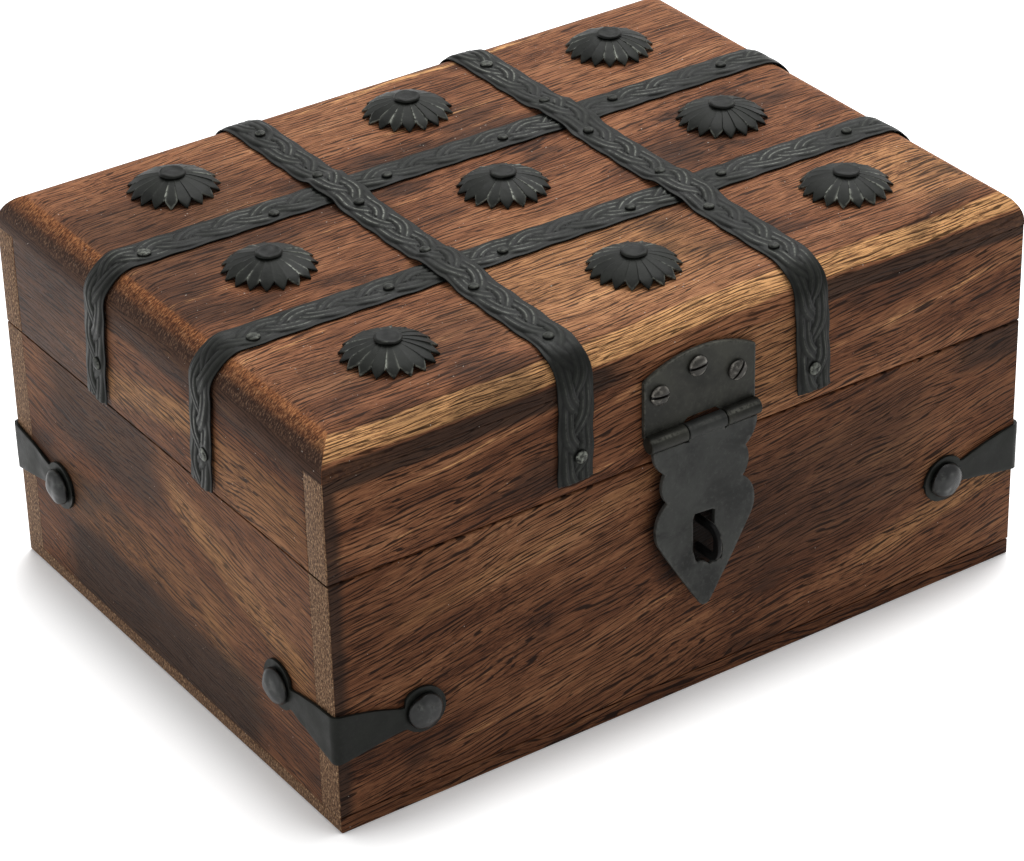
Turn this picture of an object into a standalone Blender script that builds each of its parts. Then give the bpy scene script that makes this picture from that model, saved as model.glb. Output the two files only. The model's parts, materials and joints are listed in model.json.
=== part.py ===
"""Wooden jewelry box with a hinged lid, iron straps, rosettes, corner brackets and a padlock hasp.

Lengths are metres and +Z is up. The origin is the centre of the underside, +X runs to the right along
the long front, and the front faces -Y.
"""

from math import cos, pi, radians, sin

import bmesh
import bpy
from mathutils import Matrix, Vector

# Box
BOX_LENGTH = 0.2032
BOX_DEPTH = 0.152
BASE_HEIGHT = 0.0683
SEAM_GAP = 0.0004
LID_HEIGHT = 0.0363
WALL = 0.008
BOTTOM_THICKNESS = 0.004
BOTTOM_SHY = 0.0005
TOP_THICKNESS = 0.0095
TOP_ROUND = 0.009
EDGE_EASING = 0.0006
GLUE_GAP = 0.0001

# Clearances shared by the metal work
REST_GAP = 0.0003
HEAD_GAP = 0.0002
HOLE_GAP = 0.0003
CUT_MARGIN = 0.001

# Shape of every domed head: the height of its rim, and the radius of its flat underside
HEAD_RIM_SHARE = 0.25
HEAD_SEAT_SHARE = 0.85

# Straps over the lid and their rivets
STRAP_WIDTH = 0.0102
STRAP_THICKNESS = 0.0008
STRAP_RAMP = 0.0034
RIVET_RADIUS = 0.0017
RIVET_HEIGHT = 0.0009
RIVET_ROOT = 0.0004
RIVET_ABOVE_SEAM = 0.0103

# Above the lid's lower edge, in from the box's edge, and from a crossing, for each strap's direction
STRAP_FOOT = {"front_to_back": 0.0033, "side_to_side": 0.0005}
RIVET_FROM_EDGE = {"front_to_back": 0.0092, "side_to_side": 0.0155}
RIVET_FROM_CROSSING = {"front_to_back": 0.010, "side_to_side": 0.0155}

# How far each strap lies off the line between two fields of the lid, and its slant in metres a metre
STRAP_DRIFT = {
    "left": (-0.0004, 0.01),
    "right": (0.0009, 0.01),
    "front": (-0.0003, -0.012),
    "back": (-0.0009, -0.012),
}

# Rosettes and their nails
ROSETTE_RADIUS = 0.0119
ROSETTE_NOTCH_DEPTH = 0.0024
ROSETTE_GROOVE_RADIUS = 0.0065
ROSETTE_GROOVE_DEPTH = 0.0005
ROSETTE_RISE = 0.0033
ROSETTE_DROOP = 1.6
ROSETTE_SHEET = 0.0007
ROSETTE_PETALS = 18
NAIL_HEAD_RADIUS = 0.00355
NAIL_HEAD_HEIGHT = 0.0014
NAIL_SHANK_RADIUS = 0.0009
NAIL_DEPTH = 0.006

# Each rosette's drift from the centre of its field along X and Y, and the turn of its petals in degrees
ROSETTE_DRIFT = {
    ("front", "left"): (0.0008, 0.0003, 3),
    ("front", "middle"): (0.0018, 0.0001, 12),
    ("front", "right"): (-0.0004, 0.0021, 8),
    ("middle", "left"): (0.0002, 0.0008, 15.5),
    ("middle", "middle"): (0.0001, 0.0015, 1),
    ("middle", "right"): (-0.0020, -0.0004, 5),
    ("back", "left"): (0.0026, -0.0005, 17),
    ("back", "middle"): (0.0039, -0.0001, 0),
    ("back", "right"): (-0.0008, -0.0006, 15.5),
}

# Corner brackets and their studs
BRACKET_THICKNESS = 0.0008
BRACKET_REACH = 0.0234
BRACKET_DISC_RADIUS = 0.0062
BRACKET_CORNER_HALF = 0.0066
BRACKET_NECK_HALF = 0.003
BRACKET_NECK_LENGTH = 0.006
BRACKET_FOLD_EXTRA = 0.0002
STUD_RADIUS = 0.0047
STUD_HEIGHT = 0.0027
STUD_SHANK_RADIUS = 0.0009
STUD_DEPTH = 0.005

# The height of each bracket's disc line at the corner, how much it rises for each metre along the front
# or back, and how far its strip lies above that line
BRACKET_LEVEL = {
    ("front", "left"): (0.0279, -0.07, -0.0013),
    ("front", "right"): (0.0320, -0.033, 0.0003),
    ("back", "left"): (0.0314, 0.0, 0.0008),
    ("back", "right"): (0.0310, 0.0, 0.0),
}

# Hinge barrels, for the hasp and for the two hinges at the back
SHEET = 0.0012
PIN_RADIUS = 0.00085
PIN_CLEARANCE = 0.0002
PIN_RECESS = 0.0005
KNUCKLE_RADIUS = 0.0021
KNUCKLE_GAP = 0.00035
BARREL_STANDOFF = 0.0005
LEAF_CLEARANCE = 0.00035
TONGUE_SHY = 0.00015
HINGE_WIDTH = 0.022
HINGE_LEAF_HEIGHT = 0.0115
HINGE_HEAD_RADIUS = 0.0022
HINGE_HEAD_HEIGHT = 0.0008
HINGE_HEAD_SPREAD = 0.006

# Hasp on the front, measured from its own pin
HASP_X = 0.0013
HASP_ABOVE_SEAM = 0.0066
BARREL_HALF = 0.0161
BARREL_SPLIT_LEFT = -0.0052
BARREL_SPLIT_RIGHT = 0.0061
PLATE_HALF = 0.0162
PLATE_ARCH_RISE = 0.0044
PLATE_NOTCH_RISE = 0.00045
PLATE_NOTCH_SLANT = 0.0017
SCREW_HEAD_RADIUS = 0.0026
SCREW_HEAD_HEIGHT = 0.0013
SCREW_SHANK_RADIUS = 0.0013
SCREW_DEPTH = 0.005
SCREW_SLOT_WIDTH = 0.0007
SCREW_SLOT_DEPTH = 0.0007
FLAP_STANDOFF = 0.0025
FLAP_HALF = 0.0152
FLAP_TIP_HALF = 0.0006
FLAP_LENGTH = 0.0498

# Each screw's distance to the right of the hasp's middle, its depth below the arch, and its slot's turn
HASP_SCREWS = {
    "left": (-0.0120, 0.0087, radians(-5)),
    "middle": (-0.0010, 0.0045, radians(3)),
    "right": (0.0106, 0.0096, radians(50)),
}

# The flap's right edge as arcs, each with a point on it and its end, as (distance out, drop below pin)
FLAP_EDGE = (
    ((0.0144, 0.0059), (0.0118, 0.0090)),
    ((0.0128, 0.0131), (0.0111, 0.0173)),
    ((0.0146, 0.0231), (0.0139, 0.0283)),
    ((0.0084, 0.0379), (0.0013, 0.0493)),
)

# The flap's hand-cut slot, as (distance right, drop below pin), clockwise from its upper left corner
FLAP_SLOT = (
    (-0.0032, 0.0230),
    (0.0020, 0.0234),
    (0.0028, 0.0239),
    (0.0027, 0.0279),
    (0.0047, 0.0318),
    (0.0052, 0.0358),
    (0.0049, 0.0385),
    (0.0032, 0.0388),
    (0.0014, 0.0389),
    (-0.0014, 0.0367),
    (-0.0028, 0.0364),
    (-0.0035, 0.0333),
    (-0.0037, 0.0244),
)

# Staple, measured from the hasp's pin
STAPLE_RIGHT = 0.0003
STAPLE_WIDTH = 0.0013
STAPLE_THICKNESS = 0.0021
STAPLE_EYE_TOP = 0.0280
STAPLE_EYE_BOTTOM = 0.03405
STAPLE_EYE_REACH = 0.0070
STAPLE_EYE_BEND = 0.0022
STAPLE_DEPTH = 0.005

# Fineness of the round shapes
BEND_STEPS = 7
RAMP_STEPS = 4
FOLD_STEPS = 4
DISC_COLUMNS = 10
DISC_STEP = radians(15)
FLAP_ARC_STEPS = 6
PLATE_ARCH_STEPS = 10
DOME_STEPS = {"rivet": 2, "nail": 3, "stud": 4, "screw": 3}
ROUND_SIDES = {"rivet": 10, "nail": 12, "stud": 16, "screw": 16, "hole": 12, "knuckle": 20, "pin": 14}

# Principled colour, roughness and metallic value of each kind of surface
TOP_WOOD = ((0.085, 0.036, 0.016), 0.45, 0.0)
SIDE_WOOD = ((0.066, 0.028, 0.013), 0.50, 0.0)
BOTTOM_WOOD = ((0.052, 0.023, 0.011), 0.60, 0.0)
BLACK_IRON = ((0.040, 0.040, 0.036), 0.45, 1.0)
WORN_IRON = ((0.150, 0.145, 0.130), 0.40, 1.0)
SCREW_IRON = ((0.100, 0.095, 0.085), 0.42, 1.0)

# Levels and faces that follow from the sizes above
LID_FOOT = BASE_HEIGHT + SEAM_GAP
BOX_TOP = LID_FOOT + LID_HEIGHT
HALF = Vector((BOX_LENGTH / 2, BOX_DEPTH / 2))
SIDE_SIGN = {"left": -1, "middle": 0, "right": 1, "front": -1, "back": 1}
FIELD_LENGTH = BOX_LENGTH / 3
FIELD_DEPTH = BOX_DEPTH / 3
BARREL_OUT = KNUCKLE_RADIUS + BARREL_STANDOFF
LEAF_START = KNUCKLE_RADIUS + LEAF_CLEARANCE
LID_AXIS = Vector((0, HALF.y + BARREL_OUT, BASE_HEIGHT + SEAM_GAP / 2))
HASP_AXIS = Vector((HASP_X, -HALF.y - BARREL_OUT, LID_FOOT + HASP_ABOVE_SEAM))
OUTWARD = {
    "front": Vector((0, -1, 0)),
    "back": Vector((0, 1, 0)),
    "left": Vector((-1, 0, 0)),
    "right": Vector((1, 0, 0)),
    "top": Vector((0, 0, 1)),
}


def clear_scene():
    for obj in list(bpy.data.objects):
        bpy.data.objects.remove(obj)


def pivot(name, place, parent=None):
    """An empty that carries one moving body and stands on its joint's axis."""
    empty = bpy.data.objects.new(name, None)
    empty.empty_display_size = 0.01
    bpy.context.scene.collection.objects.link(empty)
    empty.parent = parent
    empty.location = Vector(place) - world_place(parent)
    return empty


def world_place(carrier):
    """Where an unturned empty stands, through its parents."""
    place = Vector((0, 0, 0))
    while carrier:
        place += carrier.location
        carrier = carrier.parent
    return place


def make_material(name, surface):
    colour, roughness, metallic = surface
    material = bpy.data.materials.new(name)
    material.use_nodes = True
    shader = material.node_tree.nodes["Principled BSDF"]
    shader.inputs["Base Color"].default_value = (*colour, 1)
    shader.inputs["Roughness"].default_value = roughness
    shader.inputs["Metallic"].default_value = metallic
    return material


def add_piece(name, mesh, carrier, surface, placing=None):
    """One visible piece with its own material, placed in the world and carried by an empty."""
    obj = bpy.data.objects.new(name, mesh)
    bpy.context.scene.collection.objects.link(obj)
    obj.parent = carrier
    obj.matrix_basis = Matrix.Translation(-world_place(carrier)) @ (placing or Matrix())
    if surface:
        mesh.materials.append(make_material(name, surface))
        mesh.shade_smooth()
        mesh.set_sharp_from_angle(angle=radians(38))
    return obj


def add_helper(name, mesh, carrier, placing=None):
    """A shape that only cuts another piece or fuses with it."""
    obj = add_piece(name, mesh, carrier, None, placing)
    obj.hide_render = True
    obj.display_type = "WIRE"
    return obj


def add_boolean(piece, helper, operation):
    modifier = piece.modifiers.new(helper.name, "BOOLEAN")
    modifier.operation = operation
    modifier.solver = "EXACT"
    modifier.object = helper


def add_solidify(piece, thickness, offset):
    modifier = piece.modifiers.new("Sheet", "SOLIDIFY")
    modifier.thickness = thickness
    modifier.offset = offset
    modifier.use_even_offset = True


def mesh_of(bm, name):
    mesh = bpy.data.meshes.new(name)
    bm.to_mesh(mesh)
    bm.free()
    return mesh


def turned(name, profile, sides):
    """A solid turned about Z from (radius, height) points that start and end on the axis."""
    bm = bmesh.new()
    points = [bm.verts.new((radius, 0, height)) for radius, height in profile]
    edges = [bm.edges.new(pair) for pair in zip(points, points[1:])]
    spun = {"cent": (0, 0, 0), "axis": (0, 0, 1), "angle": 2 * pi, "steps": sides, "use_merge": True}
    bmesh.ops.spin(bm, geom=points + edges, **spun)
    bmesh.ops.remove_doubles(bm, verts=bm.verts, dist=1e-6)
    bmesh.ops.recalc_face_normals(bm, faces=bm.faces)
    return mesh_of(bm, name)


def cylinder(name, radius, low, high, sides):
    return turned(name, [(0, low), (radius, low), (radius, high), (0, high)], sides)


def block(name, low, high):
    bm = bmesh.new()
    size = Vector(high) - Vector(low)
    middle = (Vector(high) + Vector(low)) / 2
    bmesh.ops.create_cube(bm, size=1, matrix=Matrix.Translation(middle) @ Matrix.Diagonal((*size, 1)))
    return mesh_of(bm, name)


def extruded(name, outline, depth):
    """A plate from a closed outline of 3-D points, pushed through by the vector depth."""
    bm = bmesh.new()
    face = bm.faces.new([bm.verts.new(point) for point in outline])
    made = bmesh.ops.extrude_face_region(bm, geom=[face])
    moved = [item for item in made["geom"] if isinstance(item, bmesh.types.BMVert)]
    bmesh.ops.translate(bm, verts=moved, vec=depth)
    bmesh.ops.recalc_face_normals(bm, faces=bm.faces)
    return mesh_of(bm, name)


def gathered(name, parts):
    """One mesh of several separate shapes, given as (mesh, placing) pairs."""
    bm = bmesh.new()
    for mesh, placing in parts:
        copy = mesh.copy()
        copy.transform(placing)
        bm.from_mesh(copy)
        bpy.data.meshes.remove(copy)
    return mesh_of(bm, name)


def facing(side, spot):
    """Places a piece modelled with +Z as its way out of the wood, its +Y as up."""
    out = OUTWARD[side]
    across = Vector((1, 0, 0)) if side == "top" else Vector((0, 0, 1)).cross(out)
    placing = Matrix((across, out.cross(across), out)).transposed().to_4x4()
    placing.translation = spot
    return placing


def along_x(spot=(0, 0, 0)):
    """Places a piece modelled along +Z so that it runs along +X."""
    return Matrix.Translation(spot) @ Matrix.Rotation(pi / 2, 4, "Y")


def dome(radius, low, height, steps):
    """Profile points of a domed head, from its rim to its crown."""
    angles = [pi / 2 * step / steps for step in range(steps + 1)]
    rim = HEAD_RIM_SHARE * height
    crown = height - rim
    points = [(radius * cos(angle), low + rim + crown * sin(angle)) for angle in angles[:-1]]
    return points + [(0, low + height)]


def headed_nail(kind, head, shank, depth, low):
    """A nail with a domed head of (radius, height) whose flat underside lies at the height low."""
    radius, height = head
    profile = [(0, -depth), (shank, -depth), (shank, low), (radius * HEAD_SEAT_SHARE, low)]
    return turned(kind, profile + dome(radius, low, height, DOME_STEPS[kind]), ROUND_SIDES[kind])


def shallow_head(kind, radius, height, root):
    """A domed head that is sunk into the metal it is fused to."""
    profile = [(0, -root), (radius, -root)] + dome(radius, 0, height, DOME_STEPS[kind])
    return turned(kind, profile, ROUND_SIDES[kind])


def drill(name, radius, depth, reach, side, spot, carrier):
    """A round cutter that goes into the wood by depth and out of it by reach."""
    mesh = cylinder(name, radius, -depth, reach, ROUND_SIDES["hole"])
    return add_helper(name, mesh, carrier, facing(side, spot))


def board(name, low, high, carrier, surface, eased=(), rounded=0):
    """A board between two corners. eased lists the (x, y) signs of upright edges that are worn soft."""
    low = Vector(low)
    high = Vector(high)
    bm = bmesh.new()
    bmesh.ops.create_cube(bm, size=1, matrix=Matrix.Diagonal((*(high - low), 1)))
    upright = [edge for edge in bm.edges if abs(edge.verts[0].co.z - edge.verts[1].co.z) > 1e-6]
    worn = []
    for edge in upright:
        spot = edge.verts[0].co
        if any(spot.x * x > 0 and spot.y * y > 0 for x, y in eased):
            worn.append(edge)
    upper = [edge for edge in bm.edges if all(vert.co.z > 0 for vert in edge.verts)]
    if worn:
        bmesh.ops.bevel(bm, geom=worn, offset=EDGE_EASING, segments=2, profile=0.5, affect="EDGES")
    if rounded:
        bmesh.ops.bevel(bm, geom=upper, offset=rounded, segments=BEND_STEPS, profile=0.5, affect="EDGES")
    placing = Matrix.Translation((low + high) / 2)
    return add_piece(name, mesh_of(bm, name), carrier, surface, placing)


def build_walls(prefix, low, high, carrier):
    """Front and back boards over the full length, and the two end boards between them."""
    boards = {}
    for side in ("front", "back"):
        sign = SIDE_SIGN[side]
        ends = sorted((sign * HALF.y, sign * (HALF.y - WALL)))
        corners = ((-HALF.x, ends[0], low), (HALF.x, ends[1], high))
        eased = ((-1, sign), (1, sign))
        boards[side] = board(f"{prefix}_{side}_panel", *corners, carrier, SIDE_WOOD, eased)
    inner = HALF.y - WALL - GLUE_GAP
    for side in ("left", "right"):
        sign = SIDE_SIGN[side]
        ends = sorted((sign * HALF.x, sign * (HALF.x - WALL)))
        corners = ((ends[0], -inner, low), (ends[1], inner, high))
        boards[side] = board(f"{prefix}_{side}_panel", *corners, carrier, SIDE_WOOD)
    return boards


def build_base(carrier):
    low = (-HALF.x, -HALF.y, 0)
    high = (HALF.x - BOTTOM_SHY, HALF.y, BOTTOM_THICKNESS)
    board("base_bottom_panel", low, high, carrier, BOTTOM_WOOD)
    return build_walls("base", BOTTOM_THICKNESS + GLUE_GAP, BASE_HEIGHT, carrier)


def build_lid(carrier):
    under_top = BOX_TOP - TOP_THICKNESS
    boards = build_walls("lid", LID_FOOT, under_top - GLUE_GAP, carrier)
    low = (-HALF.x, -HALF.y, under_top)
    high = (HALF.x, HALF.y, BOX_TOP)
    boards["top"] = board("lid_top_panel", low, high, carrier, TOP_WOOD, rounded=TOP_ROUND)
    return boards


def strap_lines(spacing, names):
    """Where a pair of straps lies: between the fields, as (line, slant) with each strap's own drift."""
    lines = {}
    for name in names:
        drift, slant = STRAP_DRIFT[name]
        lines[name] = (SIDE_SIGN[name] * spacing / 2 + drift, slant)
    return lines


def strap_route(half, foot, crossings):
    """(along, height) points of a strap's underside, over the lid and over the straps it crosses."""
    corner = half - TOP_ROUND
    bend = TOP_ROUND + REST_GAP
    level = BOX_TOP + REST_GAP
    lift = STRAP_THICKNESS + REST_GAP
    clear = STRAP_WIDTH / 2 + REST_GAP
    angles = [pi / 2 * step / BEND_STEPS for step in range(BEND_STEPS + 1)]
    rise = [(-corner - bend * cos(angle), BOX_TOP - TOP_ROUND + bend * sin(angle)) for angle in angles]
    route = [(-half - REST_GAP, foot)] + rise
    for centre in sorted(crossings):
        ramp = []
        for step in range(RAMP_STEPS + 1):
            share = step / RAMP_STEPS
            ramp.append((clear + STRAP_RAMP * (1 - share), lift * share * share * (3 - 2 * share)))
        route += [(centre - out, level + up) for out, up in ramp]
        route += [(centre + out, level + up) for out, up in reversed(ramp)]
    fall = [(-along, height) for along, height in reversed(rise)]
    return route + fall + [(half + REST_GAP, foot)]


def sheet_strip(name, route, across, carrier, surface, thickness):
    """A flat strip that follows 3-D points and thickens to the right of route x across."""
    bm = bmesh.new()
    rows = [[bm.verts.new(point + across * sign) for sign in (-1, 1)] for point in route]
    for (low_start, high_start), (low_end, high_end) in zip(rows, rows[1:]):
        bm.faces.new((low_start, low_end, high_end, high_start))
    strip = add_piece(name, mesh_of(bm, name), carrier, surface)
    add_solidify(strip, thickness, 1)
    return strip


def build_strap(name, direction, track, crossed, carrier):
    """One strap with its eight rivets, which are fused to it."""
    lengthwise = direction == "side_to_side"
    half = HALF.x if lengthwise else HALF.y
    line, slant = track
    crossings = [other + lean * line for other, lean in crossed]

    def spot(along, height):
        beside = line + slant * along
        return Vector((along, beside, height)) if lengthwise else Vector((beside, along, height))

    across = Vector((0, 1, 0)) if lengthwise else Vector((-1, 0, 0))
    lifts = () if lengthwise else crossings
    foot = LID_FOOT + STRAP_FOOT[direction]
    route = [spot(*point) for point in strap_route(half, foot, lifts)]
    strap = sheet_strip(name, route, across * STRAP_WIDTH / 2, carrier, BLACK_IRON, STRAP_THICKNESS)

    rivet = shallow_head("rivet", RIVET_RADIUS, RIVET_HEIGHT, RIVET_ROOT)
    off = REST_GAP + STRAP_THICKNESS
    beside = RIVET_FROM_CROSSING[direction]
    flat = [sign * (half - RIVET_FROM_EDGE[direction]) for sign in (-1, 1)]
    flat += [crossing + sign * beside for crossing in crossings for sign in (-1, 1)]
    places = [facing("top", spot(along, BOX_TOP + off)) for along in flat]
    height = LID_FOOT + RIVET_ABOVE_SEAM
    for side in ("left", "right") if lengthwise else ("front", "back"):
        places.append(facing(side, spot(SIDE_SIGN[side] * (half + off), height)))
    rivets = add_helper(f"{name}_rivets", gathered("rivets", [(rivet, place) for place in places]), carrier)
    add_boolean(strap, rivets, "UNION")


def build_straps(carrier):
    rows = strap_lines(FIELD_DEPTH, ("front", "back"))
    columns = strap_lines(FIELD_LENGTH, ("left", "right"))
    for name, track in rows.items():
        build_strap(f"lid_strap_side_to_side_{name}", "side_to_side", track, columns.values(), carrier)
    for name, track in columns.items():
        build_strap(f"lid_strap_front_to_back_{name}", "front_to_back", track, rows.values(), carrier)


def rosette_height(radius):
    """Height of a rosette's upper face above the wood, from its hub down to its tips."""
    share = (radius / ROSETTE_RADIUS) ** ROSETTE_DROOP
    return REST_GAP + ROSETTE_SHEET + ROSETTE_RISE * (1 - share)


def rosette_sheet():
    """The upper face of a rosette: a domed hub with a round hole, grooves, and pointed petals."""
    bm = bmesh.new()

    def point(radius, turn, sunk=0):
        return bm.verts.new((radius * cos(turn), radius * sin(turn), rosette_height(radius) - sunk))

    petal = 2 * pi / ROSETTE_PETALS
    hole = NAIL_SHANK_RADIUS + HOLE_GAP
    notch = ROSETTE_RADIUS - ROSETTE_NOTCH_DEPTH
    count = range(ROSETTE_PETALS)
    holes = [point(hole, petal * (k - 0.5)) for k in count]
    grooves = [point(ROSETTE_GROOVE_RADIUS, petal * (k - 0.5), ROSETTE_GROOVE_DEPTH) for k in count]
    crests = [point(ROSETTE_GROOVE_RADIUS, petal * k) for k in count]
    notches = [point(notch, petal * (k - 0.5), ROSETTE_GROOVE_DEPTH) for k in count]
    tips = [point(ROSETTE_RADIUS, petal * k) for k in count]
    for k in count:
        after = (k + 1) % ROSETTE_PETALS
        bm.faces.new((holes[k], grooves[k], crests[k]))
        bm.faces.new((holes[k], crests[k], holes[after]))
        bm.faces.new((holes[after], crests[k], grooves[after]))
        bm.faces.new((grooves[k], notches[k], tips[k], crests[k]))
        bm.faces.new((crests[k], tips[k], notches[after], grooves[after]))
    return mesh_of(bm, "rosette")


def build_rosettes(carrier, top_board):
    sheet = rosette_sheet()
    seat = rosette_height(NAIL_SHANK_RADIUS + HOLE_GAP) + HEAD_GAP
    head = (NAIL_HEAD_RADIUS, NAIL_HEAD_HEIGHT)
    nail = headed_nail("nail", head, NAIL_SHANK_RADIUS, NAIL_DEPTH, seat)
    for (row, column), (drift_x, drift_y, turn) in ROSETTE_DRIFT.items():
        x = SIDE_SIGN[column] * FIELD_LENGTH + drift_x
        y = SIDE_SIGN[row] * FIELD_DEPTH + drift_y
        placing = Matrix.Translation((x, y, BOX_TOP))
        where = f"{row}_{column}"
        turning = Matrix.Rotation(radians(turn), 4, "Z")
        rosette = add_piece(f"rosette_{where}", sheet.copy(), carrier, BLACK_IRON, placing @ turning)
        add_solidify(rosette, ROSETTE_SHEET, -1)
        add_piece(f"rosette_nail_{where}", nail.copy(), carrier, BLACK_IRON, placing)
        radius = NAIL_SHANK_RADIUS + HOLE_GAP
        depth = NAIL_DEPTH + HOLE_GAP
        hole = drill(f"nail_hole_{where}", radius, depth, CUT_MARGIN, "top", (x, y, BOX_TOP), carrier)
        add_boolean(top_board, hole, "DIFFERENCE")


def bracket_columns(sag):
    """(distance from the corner, low, high) along one wing, from its disc's far end to the fold."""
    columns = []
    for step in range(DISC_COLUMNS):
        angle = DISC_STEP * (step + 0.5)
        half = BRACKET_DISC_RADIUS * sin(angle)
        columns.append((BRACKET_REACH + BRACKET_DISC_RADIUS * cos(angle), -half, half))
    neck = BRACKET_REACH - BRACKET_NECK_LENGTH
    columns.append((neck, sag - BRACKET_NECK_HALF, sag + BRACKET_NECK_HALF))
    fold = EDGE_EASING + BRACKET_FOLD_EXTRA
    return columns + [(fold, sag - BRACKET_CORNER_HALF, sag + BRACKET_CORNER_HALF)]


def build_bracket(row, column, carrier, boards):
    """A strip folded round one upright corner, with a disc and a stud at each end."""
    level, slope, sag = BRACKET_LEVEL[row, column]
    sign_x = SIDE_SIGN[column]
    sign_y = SIDE_SIGN[row]
    fold = EDGE_EASING + BRACKET_FOLD_EXTRA
    bend = fold + REST_GAP
    corner = Vector((sign_x * HALF.x, sign_y * HALF.y, 0))

    def at(inward_x, inward_y, rise):
        return corner + Vector((-sign_x * inward_x, -sign_y * inward_y, level + rise))

    wing = bracket_columns(sag)
    stations = [(s, -REST_GAP, slope * s, low, high) for s, low, high in wing]
    for step in range(1, FOLD_STEPS):
        angle = pi / 2 * step / FOLD_STEPS
        turn = (fold - bend * sin(angle), fold - bend * cos(angle), 0)
        stations.append((*turn, *wing[-1][1:]))
    stations += [(-REST_GAP, s, -slope * s, low, high) for s, low, high in reversed(wing)]

    bm = bmesh.new()
    pairs = []
    for across, along, rise, low, high in stations:
        pairs.append([bm.verts.new(at(across, along, rise + edge)) for edge in (low, high)])
    for (low_start, high_start), (low_end, high_end) in zip(pairs, pairs[1:]):
        around = (low_start, high_start, high_end, low_end)
        bm.faces.new(around if sign_x * sign_y > 0 else around[::-1])
    where = f"{row}_{column}"
    bracket = add_piece(f"corner_bracket_{where}", mesh_of(bm, where), carrier, BLACK_IRON)
    add_solidify(bracket, BRACKET_THICKNESS, 1)

    seat = REST_GAP + BRACKET_THICKNESS + HEAD_GAP
    head = (STUD_RADIUS, STUD_HEIGHT)
    discs = {
        row: at(BRACKET_REACH, 0, slope * BRACKET_REACH),
        column: at(0, BRACKET_REACH, -slope * BRACKET_REACH),
    }
    for side, spot in discs.items():
        stud = headed_nail("stud", head, STUD_SHANK_RADIUS, STUD_DEPTH, seat)
        name = f"bracket_stud_{where}_on_{side}"
        add_piece(name, stud, carrier, BLACK_IRON, facing(side, spot))
        radius = STUD_SHANK_RADIUS + HOLE_GAP
        reach = seat + CUT_MARGIN
        hole = drill(f"{name}_hole", radius, STUD_DEPTH + HOLE_GAP, reach, side, spot, carrier)
        add_boolean(boards[side], hole, "DIFFERENCE")
        add_boolean(bracket, hole, "DIFFERENCE")


def knuckle_spans(splits, half):
    """The barrel's three knuckles as (left, right) along the pin, with the running gap between them."""
    left, right = splits
    slack = KNUCKLE_GAP / 2
    return [(-half, left - slack), (left + slack, right - slack), (right + slack, half)]


def barrel_edge(spans, body, tongue):
    """Outline points of a leaf's edge along its barrel: a tongue runs to each of its knuckles."""
    points = []
    for left, right in spans:
        left += TONGUE_SHY
        right -= TONGUE_SHY
        points += [(left, body), (left, tongue), (right, tongue), (right, body)]
    return points


def rolled_leaf(name, outline, spans, half, depths, place, carrier, surface):
    """A hinge leaf with knuckles round its pin. depths are its two faces, as distances along Y."""
    near, far = depths
    points = [(x, near, z) for x, z in outline]
    placing = Matrix.Translation(place)
    leaf = add_piece(name, extruded(name, points, (0, far - near, 0)), carrier, surface, placing)
    sides = ROUND_SIDES["knuckle"]
    knuckles = [(cylinder("knuckle", KNUCKLE_RADIUS, *span, sides), along_x()) for span in spans]
    barrel = add_helper(f"{name}_knuckles", gathered("knuckles", knuckles), carrier, placing)
    add_boolean(leaf, barrel, "UNION")
    reach = half + CUT_MARGIN
    bore = cylinder("bore", PIN_RADIUS + PIN_CLEARANCE, -reach, reach, sides)
    add_boolean(leaf, add_helper(f"{name}_bore", bore, carrier, along_x(place)), "DIFFERENCE")
    return leaf


def build_pin(name, half, place, carrier):
    reach = half - PIN_RECESS
    mesh = cylinder(name, PIN_RADIUS, -reach, reach, ROUND_SIDES["pin"])
    add_piece(name, mesh, carrier, BLACK_IRON, along_x(place))


def arc(start, through, end, steps):
    """Points on the circle through three points, from start up to and without end."""
    (ax, ay), (bx, by), (cx, cy) = start, through, end
    spread = 2 * (ax * (by - cy) + bx * (cy - ay) + cx * (ay - by))
    squares = (ax * ax + ay * ay, bx * bx + by * by, cx * cx + cy * cy)
    x = (squares[0] * (by - cy) + squares[1] * (cy - ay) + squares[2] * (ay - by)) / spread
    y = (squares[0] * (cx - bx) + squares[1] * (ax - cx) + squares[2] * (bx - ax)) / spread
    centre = Vector((x, y))
    first = Vector((ax, ay)) - centre
    sweep = first.angle_signed(Vector((cx, cy)) - centre)
    return [tuple(centre + Matrix.Rotation(-sweep * step / steps, 2) @ first) for step in range(steps)]


def plate_outline(spans, top):
    """The hasp plate: straight sides, an arched top, and a notch over the flap's knuckle."""
    spring = top - PLATE_ARCH_RISE
    edge = barrel_edge(spans, LEAF_START, 0)
    notch_top = LEAF_START + PLATE_NOTCH_RISE
    left = edge[3][0] + PLATE_NOTCH_SLANT
    right = edge[4][0] - PLATE_NOTCH_SLANT
    lower = [(-PLATE_HALF, LEAF_START)] + edge[:4] + [(left, notch_top), (right, notch_top)] + edge[4:]
    arch = arc((PLATE_HALF, spring), (0, top), (-PLATE_HALF, spring), PLATE_ARCH_STEPS)
    return lower + [(PLATE_HALF, LEAF_START)] + arch + [(-PLATE_HALF, spring)]


def slotted_screw(turn):
    """A round-headed screw whose straight slot is turned from the horizontal."""
    low = REST_GAP + SHEET + HEAD_GAP
    head = (SCREW_HEAD_RADIUS, SCREW_HEAD_HEIGHT)
    mesh = headed_nail("screw", head, SCREW_SHANK_RADIUS, SCREW_DEPTH, low)
    top = low + SCREW_HEAD_HEIGHT
    reach = SCREW_HEAD_RADIUS + CUT_MARGIN
    half = SCREW_SLOT_WIDTH / 2
    slot = block("slot", (-reach, -half, top - SCREW_SLOT_DEPTH), (reach, half, top + CUT_MARGIN))
    slot.transform(Matrix.Rotation(turn, 4, "Z"))
    return mesh, slot


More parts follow.
